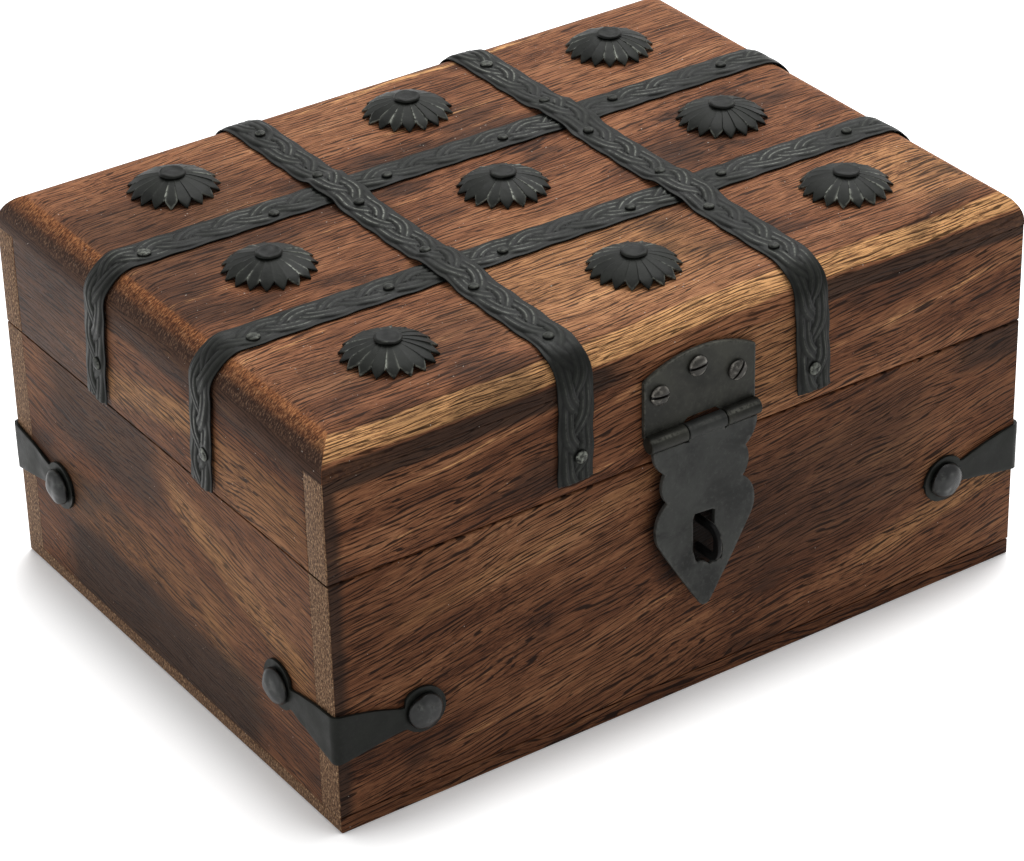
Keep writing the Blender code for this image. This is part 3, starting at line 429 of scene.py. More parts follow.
FRONT_ROUNDOVER = (0, -1, -1)
BURNT_CORNER = ("burnt", 0.85, (RIGHT, -103, 3.5, 3, 3))
LID_END = dict(
    grain=(0, 1, 0.06), face=LEFT, seed=4, tone=1.05, gold=0.1, dark=0.3, hatch=0.85,
    marks=[("gold", 0.6, ((0, 0.19, 1), 78.8, 2, 4, 5), (FORWARD, -4, 18, 8, 0)),
           ("burnt", 0.75, (UP, 96, 3, 3, 4)),
           ("gold", 0.3, (UP, 79, 4, 6, 8), (FORWARD, 47, 14, 12, 0)),
           ("burnt", 0.65, (FORWARD, -75, 25, 50, 30))])
WOODS = {
    "lid_top_panel": stained_wood(
        "lid top wood", across=LID_END, grain=(1, 0.03, 0), face=UP, seed=1, tone=1.66, gold=0.15, dark=0.1,
        figure=0.18, hatch=0.85, arched=True,
        marks=[("gold", 1.0, (FRONT_ROUNDOVER, -20.4, 2.5, 0.8, 6)),
               ("gold", 0.3, (RIGHT, -5, 15, 25, 20), (FORWARD, 45, 10, 25, 20)),
               ("gold", 0.35, (RIGHT, 88, 8, 12, 5), (FORWARD, 50, 8, 12, 10)),
               ("burnt", 0.35, (RIGHT, -62, 18, 20, 10), (FORWARD, 52, 5, 9, 10)),
               ("burnt", 0.55, (RIGHT, -80, 18, 25, 10), (FORWARD, -30, 15, 20, 15)),
               ("burnt", 0.9, (FRONT_ROUNDOVER, -13.8, 2.4, 0.7, 3), (RIGHT, -65, 38, 14, 10)),
               ("burnt", 0.9, (FRONT_ROUNDOVER, -13.8, 2.6, 0.7, 4), (RIGHT, 72, 34, 10, 10))]),
    "lid_front_panel": stained_wood(
        "lid front wood", ends=True, grain=(1, 0, 0.12), face=FORWARD, seed=2, tone=1.4, gold=0.25, dark=0.4,
        marks=[("burnt", 0.9, (UP, 97, 3.5, 1.5, 6), (RIGHT, -65, 38, 14, 10)),
               ("burnt", 0.9, (UP, 97, 2.5, 1.5, 6), (RIGHT, 72, 34, 10, 10)),
               ("gold", 0.28, (RIGHT, 26, 7, 9, 6), (UP, 84, 8, 10, 8)), BURNT_CORNER]),
    "lid_back_panel": stained_wood(
        "lid back wood", ends=True, grain=(1, 0, 0.03), face=BACK, seed=3, tone=1.25),
    "lid_left_panel": stained_wood("lid left wood", sheen=0.10, **LID_END),
    "lid_right_panel": stained_wood("lid right wood", grain=BACK, face=RIGHT, seed=5, tone=1.25),
    "base_front_panel": stained_wood(
        # A painted shadow behind the hasp's flap
        "base front wood", ends=True, shade_behind_flap=((-1.6, -76, 52), 14.2, 0.62), grain=(1, 0, 0.148),
        face=FORWARD, seed=6, tone=1.16, gold=0.1, dark=0.3,
        marks=[BURNT_CORNER, ("gold", 0.4, ((-0.176, 0, 1), 9, 1.5, 3, 5), (RIGHT, 80, 22, 10, 5)),
               ("gold", 0.2, ((-0.2, 0, 1), 66, 0.8, 3, 6), (RIGHT, -40, 35, 15, 5)),
               ("burnt", 0.5, (RIGHT, 42, 22, 20, 20), ((-0.15, 0, 1), 36, 10, 16, 20)),
               ("burnt", 0.75, (RIGHT, 100, 12, 10, 12), (UP, 68, 6, 5, 6))]),
    "base_back_panel": stained_wood("base back wood", ends=True, grain=RIGHT, face=BACK, seed=7, tone=1.25),
    "base_left_panel": stained_wood(
        "base left wood", sheen=0.10, grain=(0, 1, 0.10), face=LEFT, seed=8, tone=1.02, dark=0.2, gold=0.0,
        hatch=0.8, figure=0.2,
        marks=[("gold", 0.55, ((0, -0.385, 1), 57.4, 2, 6, 8), (FORWARD, 35, 25, 12, 0)),
               ("gold", 0.4, ((0, -0.70, 1), 34.8, 1.5, 5, 8), (FORWARD, 27, 8, 8, 0)),
               ("gold", 0.22, (UP, 31, 4, 8, 8), (FORWARD, -12, 35, 15, 10)),
               ("burnt", 0.75, (UP, 60, 8, 9, 10), (FORWARD, -27, 20, 15, 10)),
               ("burnt", 0.88, (UP, 7, 13, 8, 12), (FORWARD, -5, 40, 14, 20))]),
    "base_right_panel": stained_wood("base right wood", grain=BACK, face=RIGHT, seed=9, tone=1.25),
    "base_bottom_panel": stained_wood("bottom wood", ends=True, grain=RIGHT, face=UP, seed=10),
}


# Boards

ARRIS = 0.2
UPRIGHT_EASING = 0.6


def board(node, body, rounded=0.0):
    """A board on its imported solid's place, with a roundover where it is the lid's top.

    The lid's edges are softened except in the glue line, the base's only at its upright corners.
    """
    low, high = (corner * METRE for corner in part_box(node))
    on_lid = node.startswith("lid")
    if on_lid and not rounded:
        high.z = LID_JOINT
    bm = bmesh.new()
    bmesh.ops.create_cube(bm, size=1)
    placing = Matrix.Translation((low + high) / 2) @ Matrix.Diagonal((*(high - low), 1))
    bmesh.ops.transform(bm, matrix=placing, verts=bm.verts)

    def at_corner(vert):
        return abs(vert.co.x) > HALF_LENGTH - 0.1 and abs(vert.co.y) > HALF_DEPTH - 0.1

    if rounded:
        upper = [edge for edge in bm.edges if all(vert.co.z > high.z - 0.1 for vert in edge.verts)]
        soften(bm, upper, rounded, segments=14)
    else:
        upright = [edge for edge in bm.edges if all(at_corner(vert) for vert in edge.verts)]
        if upright:
            soften(bm, upright, UPRIGHT_EASING, segments=4)
    if on_lid:
        sharp = [edge for edge in bm.edges if edge.calc_face_angle(0) > radians(50)
                 and not all(abs(vert.co.z - LID_JOINT) < 0.4 for vert in edge.verts)]
        soften(bm, sharp, ARRIS)
    finished(bm, node.replace("panel", "board"), body, WOODS[node], [node], smooth=30)


for node in WOODS:
    board(node, node.split("_")[0], rounded=ROUND if node == "lid_top_panel" else 0)


# Straps

STRAP_HALF = 5.1
STRAP_SHEET = 0.30
STRAP_STEP = 0.34
STRAP_ROWS = 46

# The run of one strand of the plait, its sway, its half width and the width of the shadow beside it
STRAND = 32.0
STRAND_SWAY = 0.54
STRAND_HALF = 0.36
STRAND_SHADOW = 0.35

# How far a strap rises over another one, over what half width, and how gently it gets there
CROSSING_RISE = 1.15
CROSSING_HALF = 5
CROSSING_RAMP = 3.6

RIVET_PROFILE = ((0, -0.8), (1.66, -0.8), (1.72, 0.18), (1.62, 0.48), (1.28, 0.68), (0.6, 0.78), (0, 0.80))

# Each rivet on top is its place along the strap, its place across it and how bright its head is worn, and
# each one at an end its place across, its height over the lid's foot and how bright it is
STRAPS = {
    "lid_strap_front_to_back_left": dict(
        lengthwise=False, line=-33.6, slant=0.0, lean=-0.5, foot=LID_FOOT + 3.3, crossings=(-24.9, 24.2),
        rivets=((-66.8, -0.5, 0.1), (-37.3, -1.2, 0.1), (-15.9, -0.7, 0.1),
                (14.5, 0.0, 0.0), (31.8, -1.0, 0.0), (61.0, 0.0, 0.2)),
        ends=((1.1, 9.8, 0.9), (0.4, 10.4, 0.3))),
    "lid_strap_front_to_back_right": dict(
        lengthwise=False, line=34.8, slant=0.0, lean=1.2, foot=LID_FOOT + 3.3, crossings=(-25.6, 23.6),
        rivets=((-63.5, -1.3, 0.1), (-38.3, -1.6, 0.2), (-16.6, -0.3, 0.1),
                (12.6, -1.2, 0.1), (33, -0.5, 0.0), (59.8, -0.2, 0.4)),
        ends=((-0.2, 9.6, 0.6), (-0.5, 10.2, 0.3))),
    "lid_strap_side_to_side_front": dict(
        lengthwise=True, line=-25.6, slant=-0.012, lean=2.4, foot=LID_FOOT + 0.6, crossings=(),
        rivets=((-88.6, -2.2, 0.5), (-50.9, -0.6, 0.1), (-19.4, -1.4, 0.1),
                (17.8, -1.3, 0.1), (46.2, 0.2, 0.1), (85.1, 0, 0.1)),
        ends=((-2.4, 10.4, 0.9), (0.8, 10.0, 0.3))),
    "lid_strap_side_to_side_back": dict(
        lengthwise=True, line=23.9, slant=-0.013, lean=2.6, foot=LID_FOOT + 0.6, crossings=(),
        rivets=((-88.6, -1.5, 0.6), (-53.2, -2.4, 0.1), (-20.2, -1.4, 0.1),
                (14.2, -1.3, 0.1), (49.2, 0.7, 0.0), (83.0, 0, 0.0)),
        ends=((-1.7, 11.3, 0.25), (0.3, 10.7, 0.3))),
}


def braid(along, across):
    """Height from 0 to 1 and wear of three plaited strands, each with a fold down its middle; the wear also
    paints highlights on the ridges, shade in folds and grooves, and shadow beside an upper strand.
    """
    strands = []
    for strand in range(3):
        turn = tau * (along / STRAND + strand / 3)
        sway = tanh(1.5 * sin(turn))
        steep = cos(turn) * (1 - sway ** 2)
        half = STRAND_HALF + 0.13 * steep ** 2
        strands.append((sin(2 * turn), abs(across - STRAND_SWAY * sway) / half))
    level, off = max((strand for strand in strands if strand[1] < 1), default=(-2, 1))
    past = [beyond - 1 for above, beyond in strands if above > level and 1 <= beyond < 1 + STRAND_SHADOW]
    shadow_beside_upper = max((STRAND_SHADOW - distance for distance in past), default=0) / STRAND_SHADOW
    # Ridge lines rubbed bright and partly painted highlight; painted shade in each fold and at each strand's
    # edge, and painted shadow beside a strand that lies above
    fold = swell(off, 0.18)
    height = (0.66 + 0.34 * level) * (1 - off ** 4) ** 0.6 - 0.28 * fold if off < 1 else 0
    return height, 0.65 * swell(off - 0.45, 0.09) - 0.7 * fold - 0.8 * off ** 6 * (off < 1) - 0.6 * shadow_beside_upper


def over_lid(run, half, foot):
    """Place and way out, a distance along a strap's way from one foot over the lid to the other."""
    leg = TOP - ROUND - foot
    curve = ROUND * pi / 2
    total = 2 * (leg + curve + half - ROUND)
    side = -1 if run < total / 2 else 1
    run = min(run, total - run)
    turn = min(max(run - leg, 0), curve) / ROUND
    along = half - ROUND + ROUND * cos(turn) - max(run - leg - curve, 0)
    height = min(foot + run, TOP - ROUND) + ROUND * sin(turn)
    return side * along, height, side * cos(turn), sin(turn)


def rivet_head(bright, seed, size):
    """A flat, hammered rivet head, rubbed on its face, with painted shade underneath."""
    head = bmesh.new()
    turned(head, RIVET_PROFILE, 28)
    wear_and_painted_light = head.verts.layers.float.new("wear_and_painted_light")
    for vert in head.verts:
        rim = swell(off_axis(vert) - 1.45, 0.3)
        if vert.co.z > 0.3:
            vert.co.z += 0.10 * ruffle(vert, 0.9, seed)
        vert[wear_and_painted_light] = (bright * (0.7 + ruffle(vert, 1.3, seed)) + 0.25 * rim) * (vert.co.z > 0.2)
        # Painted shade under the head
        vert[wear_and_painted_light] -= 0.95 * (vert.co.z < 0.3)
        vert.co.xy *= size
    return head


def strap(node, lengthwise, line, slant, lean, foot, crossings, rivets, ends):
    """An embossed strap and its rivets; line, slant and lean say where it runs over the lid and its sides."""
    half = HALF_LENGTH if lengthwise else HALF_DEPTH
    total = 2 * (TOP - ROUND - foot + ROUND * pi / 2 + half - ROUND)

    def lift(along):
        """How far the strap stands off the wood, where it passes over another strap."""
        beyond = [max(abs(along - centre) - CROSSING_HALF, 0) for centre in crossings]
        return sum(CROSSING_RISE * swell(distance, CROSSING_RAMP) for distance in beyond)

    def beside(along, height):
        return line + slant * along + lean * max(TOP - ROUND - height, 0) / (TOP - ROUND - foot)

    def place(u, v):
        run = u * total
        across = 2 * v - 1
        along, height, out, up = over_lid(run, half, foot)
        bend = sin(2 * atan2(abs(out), up)) ** 2

        # The plait is rubbed flat in places and where the strap bends, and beaten flat under each rivet
        raised, wear_and_painted_light = braid(run + line * 1.7, across)
        worn_flat = 0.95 + 0.5 * noise.noise(Vector((run * 0.09, line, 0))) - 0.5 * bend
        near = [hypot(along - spot, across * STRAP_HALF - aside) for spot, aside, _ in rivets if up > 0.9]
        aside, above, _ = ends[out > 0]
        near += [hypot(height - LID_FOOT - above, across * STRAP_HALF - aside)] * (up < 0.1)
        seated = exp(-(min(near, default=9) / 2.3) ** 4)
        raised = raised * worn_flat * (1 - seated) + 0.30 * seated
        sheet = 0.72 + 0.62 * raised - 0.10 * abs(across) ** 6 + 0.2 * (1 - across) * abs(out)
        sheet += 0.08 * noise.noise(Vector((run * 0.35, across * 2, line)))
        sheet += lift(along) * (up > 0.99)

        faint = max(0.6 + 1.6 * noise.noise(Vector((run * 0.06, 3, line))), 0.15)
        faint *= (1 - 0.7 * bend) * (1 if up > 0.9 else 0.8 if lengthwise else 0.35)
        wear_and_painted_light *= 1 - seated
        # The strap's edges, and so the rim of its thickness, are painted near black: painted shade of the
        # edge and the gap under it
        wear_and_painted_light = max(wear_and_painted_light * faint, 0) + min(wear_and_painted_light, 0) - 0.95 * (abs(across) > 0.99)

        edge = 1 + 0.03 * sin(tau * 3 * run / STRAND + pi * (across > 0))
        edge += 0.02 * noise.noise(Vector((run * 0.2, across, line)))
        at = beside(along, height) + STRAP_HALF * across * edge
        along += out * sheet
        height += up * sheet
        return Vector((along, at, height) if lengthwise else (at, along, height)), wear_and_painted_light

    bm = bmesh.new()
    ribbon(bm, int(total / STRAP_STEP), STRAP_ROWS, place)
    face_towards(bm, UP)
    piece = finished(bm, node.replace("lid_strap", "strap"), "lid", IRON, [node], smooth=60)
    thicken(piece, STRAP_SHEET)

    bm = bmesh.new()
    bm.verts.layers.float.new("wear_and_painted_light")
    spots = [(UP, along, TOP + 1.0 + lift(along), across, bright) for along, across, bright in rivets]
    for side, (across, above, bright) in zip((-1, 1), ends):
        out = (side, 0, 0) if lengthwise else (0, side, 0)
        spots.append((out, side * (half + 1.2), LID_FOOT + above, across, bright))
    for index, (out, along, height, across, bright) in enumerate(spots):
        at = beside(along, height) + across
        head = rivet_head(bright, index + line, 0.8 if out[2] and bright < 0.4 else 1.0)
        spot = (along, at, height) if lengthwise else (at, along, height)
        bmesh.ops.transform(head, matrix=seat(out, spot, index), verts=head.verts)
        absorb(bm, head)
    finished(bm, node.replace("lid_strap", "rivets"), "lid", IRON, smooth=50)


for node, values in STRAPS.items():
    strap(node, **values)


# Rosettes and their nails

ROSETTE_TURN = {
    "front_left": 3, "front_middle": 12, "front_right": 8,
    "middle_left": 15.5, "middle_middle": 1, "middle_right": 5,
    "back_left": 17, "back_middle": 0, "back_right": 15.5,
}
PETALS = 18
HALF_PETAL = 180 / PETALS
PETAL_STEPS = 12
TIP = 11.8
NOTCH = 9.7
ROSETTE_RINGS = (1.2, 2.4, 3.4, 4.2, 5.0, 5.9, 6.8, 7.7, 8.6, 9.4, 10.2, 11.0, TIP)
ROSETTE_FOOT = 0.75
ROSETTE_RISE = 3.55
ROSETTE_SHEET = 0.5

NAIL_SEAT = 4.15
NAIL_PROFILE = ((0, -3.5), (0.9, -3.5), (0.9, 0.1), (2.6, 0.1), (3.2, 0.17), (3.38, 0.32), (3.32, 0.60),
                (3.05, 0.82), (2.65, 0.88), (2.3, 0.78), (1.6, 0.72), (0.9, 0.76), (0, 0.80))


def rosette(where, centre, turn, seed):
    """A pressed dome of flat facets, with a pointed tip at the end of each and a V between tips."""
    bm = bmesh.new()
    spun(bm, [(radius, 0) for radius in ROSETTE_RINGS], PETALS * PETAL_STEPS)
    wear_and_painted_light = bm.verts.layers.float.new("wear_and_painted_light")
    for vert in bm.verts:
        radius = off_axis(vert)
        angle = atan2(vert.co.y, vert.co.x)
        petal = (angle * PETALS / tau) % PETALS
        own = Vector((int(petal), seed, 0))
        across = 2 * (petal % 1) - 1
        crease = abs(across)
        share = radius / TIP
        radius *= 1 + ((NOTCH + (TIP - NOTCH) * (1 - crease)) / TIP - 1) * share ** 3
        facet = radius * cos(across * pi / PETALS) / cos(pi / PETALS)
        height = ROSETTE_FOOT + ROSETTE_RISE * (1 - (facet / TIP) ** 1.9)
        height += share * (0.07 * crease ** 8 + 0.16 * across * (noise.cell(own) - 0.5))
        height -= 0.35 * max(share - 0.86, 0) / 0.14 * (1 - crease)
        height += 0.10 * noise.noise(Vector((angle * 1.5, share * 3, seed)))
        # Bright lines on some creases and on some tips, rubbed bright and partly painted highlight on the
        # ridges
        struck = max(2.6 * noise.cell(own + Vector((0, 0, 5))) - 0.5, 0)
        line = crease ** 7 * max(share - 0.30, 0) * 2.6 * struck
        tip = 0.9 * (share > 0.97) * noise.cell(own + Vector((0, 0, 9)))
        vert[wear_and_painted_light] = max(line, tip)
        vert.co = Vector((radius * cos(angle), radius * sin(angle), height))
    face_towards(bm, UP)
    bmesh.ops.transform(bm, matrix=seat(UP, centre, radians(turn + HALF_PETAL)), verts=bm.verts)
    piece = finished(bm, f"petals_{where}", "lid", IRON, [f"rosette_{where}"], smooth=28)
    thicken(piece, ROSETTE_SHEET)


def rosette_nail(where, centre, seed):
    """A nail with a flat, slightly dished head that was beaten out of true."""
    bm = bmesh.new()
    turned(bm, NAIL_PROFILE, 40)
    wear_and_painted_light = bm.verts.layers.float.new("wear_and_painted_light")
    for vert in bm.verts:
        # Rim rubbed bright in places; the top darkened as painted shade, so that its upward face is no
        # lighter than the petals; painted shade underneath
        rim = swell(off_axis(vert) - 3.05, 0.3) * max(0.35 + ruffle(vert, 0.7, seed + 9), 0)
        vert[wear_and_painted_light] = (0.7 * rim + 0.6 * ruffle(vert, 0.6, seed + 5) - 0.45) * (vert.co.z > 0.5)
        vert[wear_and_painted_light] -= 0.6 * (vert.co.z < 0.3)
        if vert.co.z > 0.2:
            vert.co.z += 0.22 * ruffle(vert, 0.45, seed) - 0.02
            vert.co.x *= 1 + 0.05 * ruffle(vert, 0.2, seed + 3)
    bmesh.ops.transform(bm, matrix=Matrix.Translation((centre.x, centre.y, TOP + NAIL_SEAT)), verts=bm.verts)
    finished(bm, f"nail_{where}", "lid", IRON, [f"rosette_nail_{where}"], smooth=50)


for seed, (where, turn) in enumerate(ROSETTE_TURN.items()):
    low, high = (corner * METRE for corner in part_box(f"rosette_nail_{where}"))
    centre = Vector(((low.x + high.x) / 2, (low.y + high.y) / 2, TOP))
    rosette(where, centre, turn, seed)
    rosette_nail(where, centre, seed)


# Corner brackets and studs

# The height of a bracket's discs, how fast that rises along its wings, and how far its strip lies above
BRACKETS = {
    ("front", "left"): (27.9, -0.07, -1.3),
    ("front", "right"): (32.0, -0.033, 0.3),
    ("back", "left"): (31.4, 0.0, 0.8),
    ("back", "right"): (31.0, 0.0, 0.0),
}
REACH = 23.4
DISC = 6.2
NECK = 6.0
NECK_HALF = 3.0
CORNER_HALF = 6.6
FOLD = 0.8
BRACKET_OFF = 1.0
BRACKET_SHEET = 0.72
BRACKET_TRIM = 0.16
SIGN = {"left": -1, "right": 1, "front": -1, "back": 1}
OUTWARD = {"front": FORWARD, "back": BACK, "left": LEFT, "right": RIGHT}

STUD_RADIUS = 4.7
STUD_RIM = 1.75
STUD_RISE = 2.2
STUD_TOP = 3.95
STUD_STEPS = 9


def bracket(row, column, level, slope, sag):
    """A strip folded round an upright corner, with a disc at the end of each wing and a stud in each disc."""
    sign_x, sign_y = SIGN[column], SIGN[row]
    where = f"{row}_{column}"
    far = REACH + DISC

    def edges(out):
        """Lower and upper edge of a wing at a distance from the corner."""
        disc = sqrt(max(DISC ** 2 - (out - REACH) ** 2, 0))
        if out > REACH - NECK + 1.1:
            return -disc, disc
        share = min(max(out / (REACH - NECK), 0), 1)
        half = CORNER_HALF + (NECK_HALF - CORNER_HALF) * share
        return sag * (1 - 0.2 * share) - half, sag * (1 - 0.2 * share) + half + 0.5 * sin(pi * share)

    def place(u, v):
        run = 2 * u - 1
        side = 1 if run > 0 else -1
        run = abs(run)
        out = far * (1 - (1 - run) ** 1.6) if run < 1 else far
        low, high = edges(out)
        rise = low + (high - low) * v + slope * out * (1 if side < 0 else -1)
        off = BRACKET_OFF + 0.10 * noise.noise(Vector((u * 20, v * 3, level)))
        if out < FOLD:
            turn = (1 - out / FOLD) * pi / 4
            bend = FOLD + off
            near = FOLD - bend * cos(turn)
            deep = FOLD - bend * sin(turn)
        else:
            near, deep = -off, out
        x, y = (deep, near) if side < 0 else (near, deep)
        return Vector((sign_x * (HALF_LENGTH - x), sign_y * (HALF_DEPTH - y), level + rise)), 0

    bm = bmesh.new()
    ribbon(bm, 150, 12, place)
    bmesh.ops.remove_doubles(bm, verts=bm.verts, dist=0.004)
    face_towards(bm, (sign_x, sign_y, 0))
    node = f"corner_bracket_{where}"
    piece = finished(bm, f"bracket_{where}", "base", IRON, [node], smooth=45)
    thicken(piece, BRACKET_SHEET)
    trim = piece.modifiers.new("edges", "BEVEL")
    trim.width = BRACKET_TRIM / METRE
    trim.segments = 2
    trim.limit_method = "ANGLE"
    trim.angle_limit = radians(50)

    for side in (row, column):
        stud(f"{where}_on_{side}", side, len(where) + sign_x * 3 + sign_y)


def stud(name, side, seed):
    """A hammered dome through a bracket's disc, its crown beaten flat."""
    node = f"bracket_stud_{name}"
    low, high = (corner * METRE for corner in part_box(node))
    out = OUTWARD[side]
    walls = (HALF_LENGTH, HALF_DEPTH, 0)
    foot = [axis * wall if axis else middle for axis, wall, middle in zip(out, walls, (low + high) / 2)]
    profile = [(0, -3), (0.9, -3), (0.9, 1.3), (4.0, 1.3), (4.62, 1.45)]
    for step in range(STUD_STEPS):
        angle = step / STUD_STEPS * pi / 2
        profile.append((STUD_RADIUS * cos(angle) ** 0.9, STUD_RIM + STUD_RISE * sin(angle)))
    bm = bmesh.new()
    turned(bm, profile + [(0, STUD_TOP)], 44)
    wear_and_painted_light = bm.verts.layers.float.new("wear_and_painted_light")
    for vert in bm.verts:
        if vert.co.z > 1.8:
            vert.co.z = min(vert.co.z + 0.5 * ruffle(vert, 0.30, seed), STUD_TOP)
        vert[wear_and_painted_light] = 0.4 * max(0, ruffle(vert, 0.6, seed + 4)) * (vert.co.z > 1.6)
    bmesh.ops.transform(bm, matrix=seat(out, foot), verts=bm.verts)
    finished(bm, f"stud_{name}", "base", STUD_IRON, [node], smooth=50)


for (row, column), values in BRACKETS.items():
    bracket(row, column, *values)


# Hasp, measured from its own pin

HASP = Vector(frame["joints"][1]["pos_m"]) * METRE
SHEET = 1.2
KNUCKLE = 2.1
BARREL = 16.1

# Where the flap's knuckle begins and ends, the slack to its neighbours, and how far the sheets stay back
SPLITS = (-5.2, 6.1)
SLACK = 0.18
SHY = 0.15

PLATE_HALF = 16.2
PLATE_FOOT = 1.2
PLATE_NOTCH = 2.9
PLATE_ARCH = 4.4
PLATE_BACK = 2.3

FLAP_HALF = 15.2
FLAP_NECK = 2.4
FLAP_ROOT = 0.6
FLAP_TIP = (0.6, 49.8)

# The flap's right edge as arcs, each with a point on it and its end, as (distance out, drop below the pin)
FLAP_EDGE = (
    ((14.4, 5.9), (11.8, 9.0)),
    ((12.8, 13.1), (11.1, 17.3)),
    ((14.6, 23.1), (13.9, 28.3)),
    ((8.4, 37.9), (1.3, 49.3)),
)

# The flap's hand-cut slot, as (distance right, drop below the pin)
FLAP_SLOT = ((-3.2, 23.0), (2.0, 23.4), (2.8, 23.9), (2.7, 27.9), (4.7, 31.8), (5.2, 35.8), (4.9, 38.5),
             (4.1, 38.3), (3.2, 38.8), (2.2, 38.5), (1.4, 38.9), (0.3, 37.8), (-0.6, 37.3), (-1.4, 36.7),
             (-2.1, 37.0), (-2.8, 36.4), (-3.5, 33.3), (-3.7, 24.4))

STAPLE_THICK = 2.1
STAPLE_BEND = 3.2
STAPLE_IN_WOOD = 4.5
STAPLE_TRIM = 0.05

SCREW_TURN = {"left": -5, "middle": 3, "right": 50}
SCREW_PROFILE = ((0, -3), (1.3, -3), (1.3, 1.66), (2.3, 1.66), (2.58, 1.78), (2.6, 2.0), (2.42, 2.36),
                 (2.0, 2.66), (1.4, 2.86), (0.7, 2.97), (0, 3.0))
SLOT_HALF = 0.36
SLOT_FLOOR = 2.25


def arc(start, through, end, steps):
    """Points on the circle through three points, from start up to and without end."""
    (ax, ay), (bx, by), (cx, cy) = start, through, end
    spread = 2 * (ax * (by - cy) + bx * (cy - ay) + cx * (ay - by))
    squares = (ax * ax + ay * ay, bx * bx + by * by, cx * cx + cy * cy)
    x = (squares[0] * (by - cy) + squares[1] * (cy - ay) + squares[2] * (ay - by)) / spread
    y = (squares[0] * (cx - bx) + squares[1] * (ax - cx) + squares[2] * (bx - ax)) / spread
    centre = Vector((x, y))
    first = Vector((ax, ay)) - centre
    sweep = first.angle_signed(Vector((cx, cy)) - centre)
    return [tuple(centre + Matrix.Rotation(-sweep * step / steps, 2) @ first) for step in range(steps)]


def cut_sheet(outline, holes, step, warp, edge_wear):
    """A sheet in the XZ plane from closed outlines, its face towards -Y, with rubbed edges."""
    bm = bmesh.new()
    lines = []
    for loop in (outline, *holes):
        points = [bm.verts.new((x, 0, z)) for x, z in loop]
        lines += [bm.edges.new(pair) for pair in zip(points, points[1:] + points[:1])]
    bmesh.ops.triangle_fill(bm, use_beauty=True, edges=lines, normal=FORWARD)
    low = Vector((min(v.co.x for v in bm.verts), 0, min(v.co.z for v in bm.verts)))
    high = Vector((max(v.co.x for v in bm.verts), 0, max(v.co.z for v in bm.verts)))
    for axis in (0, 2):
        way = Vector((axis == 0, 0, axis == 2))
        for cut in range(1, int((high - low)[axis] / step) + 1):
            slice_through(bm, low + way * cut * step, way)
    face_towards(bm, FORWARD)
    rim = push_out(bm, (0, -SHEET, 0))
    wear_and_painted_light = bm.verts.layers.float.new("wear_and_painted_light")
    for face in rim:
        for vert in face.verts:
            vert[wear_and_painted_light] = edge_wear
    for vert in bm.verts:
        vert.co.y += warp * noise.noise(vert.co * 0.11)
    return bm


def knuckle(bm, left, right):
    """A rolled knuckle along X with softened ends, a painted highlight along its upper front and painted
    shade round the rest, and a slightly uneven skin.
    """
    roll = bmesh.new()
    ring = 0.22
    profile = ((0, left), (KNUCKLE - ring, left), (KNUCKLE, left + ring), (KNUCKLE, left + 1),
               (KNUCKLE, (left + right) / 2), (KNUCKLE, right - 1), (KNUCKLE, right - ring),
               (KNUCKLE - ring, right), (0, right))
    turned(roll, profile, 48)
    wear_and_painted_light = roll.verts.layers.float.new("wear_and_painted_light")
    for vert in roll.verts:
        if off_axis(vert) > KNUCKLE - 0.02:
            vert.co.x *= 1 + 0.015 * ruffle(vert, 0.25, left)
        # Rubbed ends; a painted highlight along the upper front of the barrel and painted shade on the rest
        # of it
        at_end = min(vert.co.z - left, right - vert.co.z) < 0.3
        crown = swell(atan2(vert.co.y, -vert.co.x) + 0.75, 0.28)
        rubbed_and_painted_light = 2.4 * crown * (0.6 + ruffle(vert, 0.4, right))
        vert[wear_and_painted_light] = 0.15 * max(at_end, rubbed_and_painted_light) - 0.35 * (crown < 0.4)
    bmesh.ops.transform(roll, matrix=Matrix.Rotation(pi / 2, 4, "Y"), verts=roll.verts)
    absorb(bm, roll)


def hasp_plate():
    """The fixed plate: straight sides, an arched top and a notch over the flap's knuckle."""
    top = TOP - ROUND - HASP.z
    left, right = SPLITS
    shoulders = [(PLATE_HALF, top - PLATE_ARCH), (-PLATE_HALF, top - PLATE_ARCH)]
    outline = [(-PLATE_HALF, PLATE_FOOT), (left - SLACK - SHY, PLATE_FOOT), (left + 1.5, PLATE_NOTCH)]
    outline += [(right - 1.5, PLATE_NOTCH), (right + SLACK + SHY, PLATE_FOOT), (PLATE_HALF, PLATE_FOOT)]
    outline += [shoulders[0], *arc(shoulders[0], (0, top), shoulders[1], 28)[1:], shoulders[1]]
    bm = cut_sheet(outline, (), step=2.0, warp=0.12, edge_wear=0.22)
    bmesh.ops.translate(bm, verts=bm.verts, vec=(0, PLATE_BACK, 0))
    knuckle(bm, -BARREL, left - SLACK)
    knuckle(bm, right + SLACK, BARREL)
    bmesh.ops.translate(bm, verts=bm.verts, vec=HASP)
    finished(bm, "hasp_backplate", "lid", PLATE_IRON, ["hasp_plate"], smooth=35)


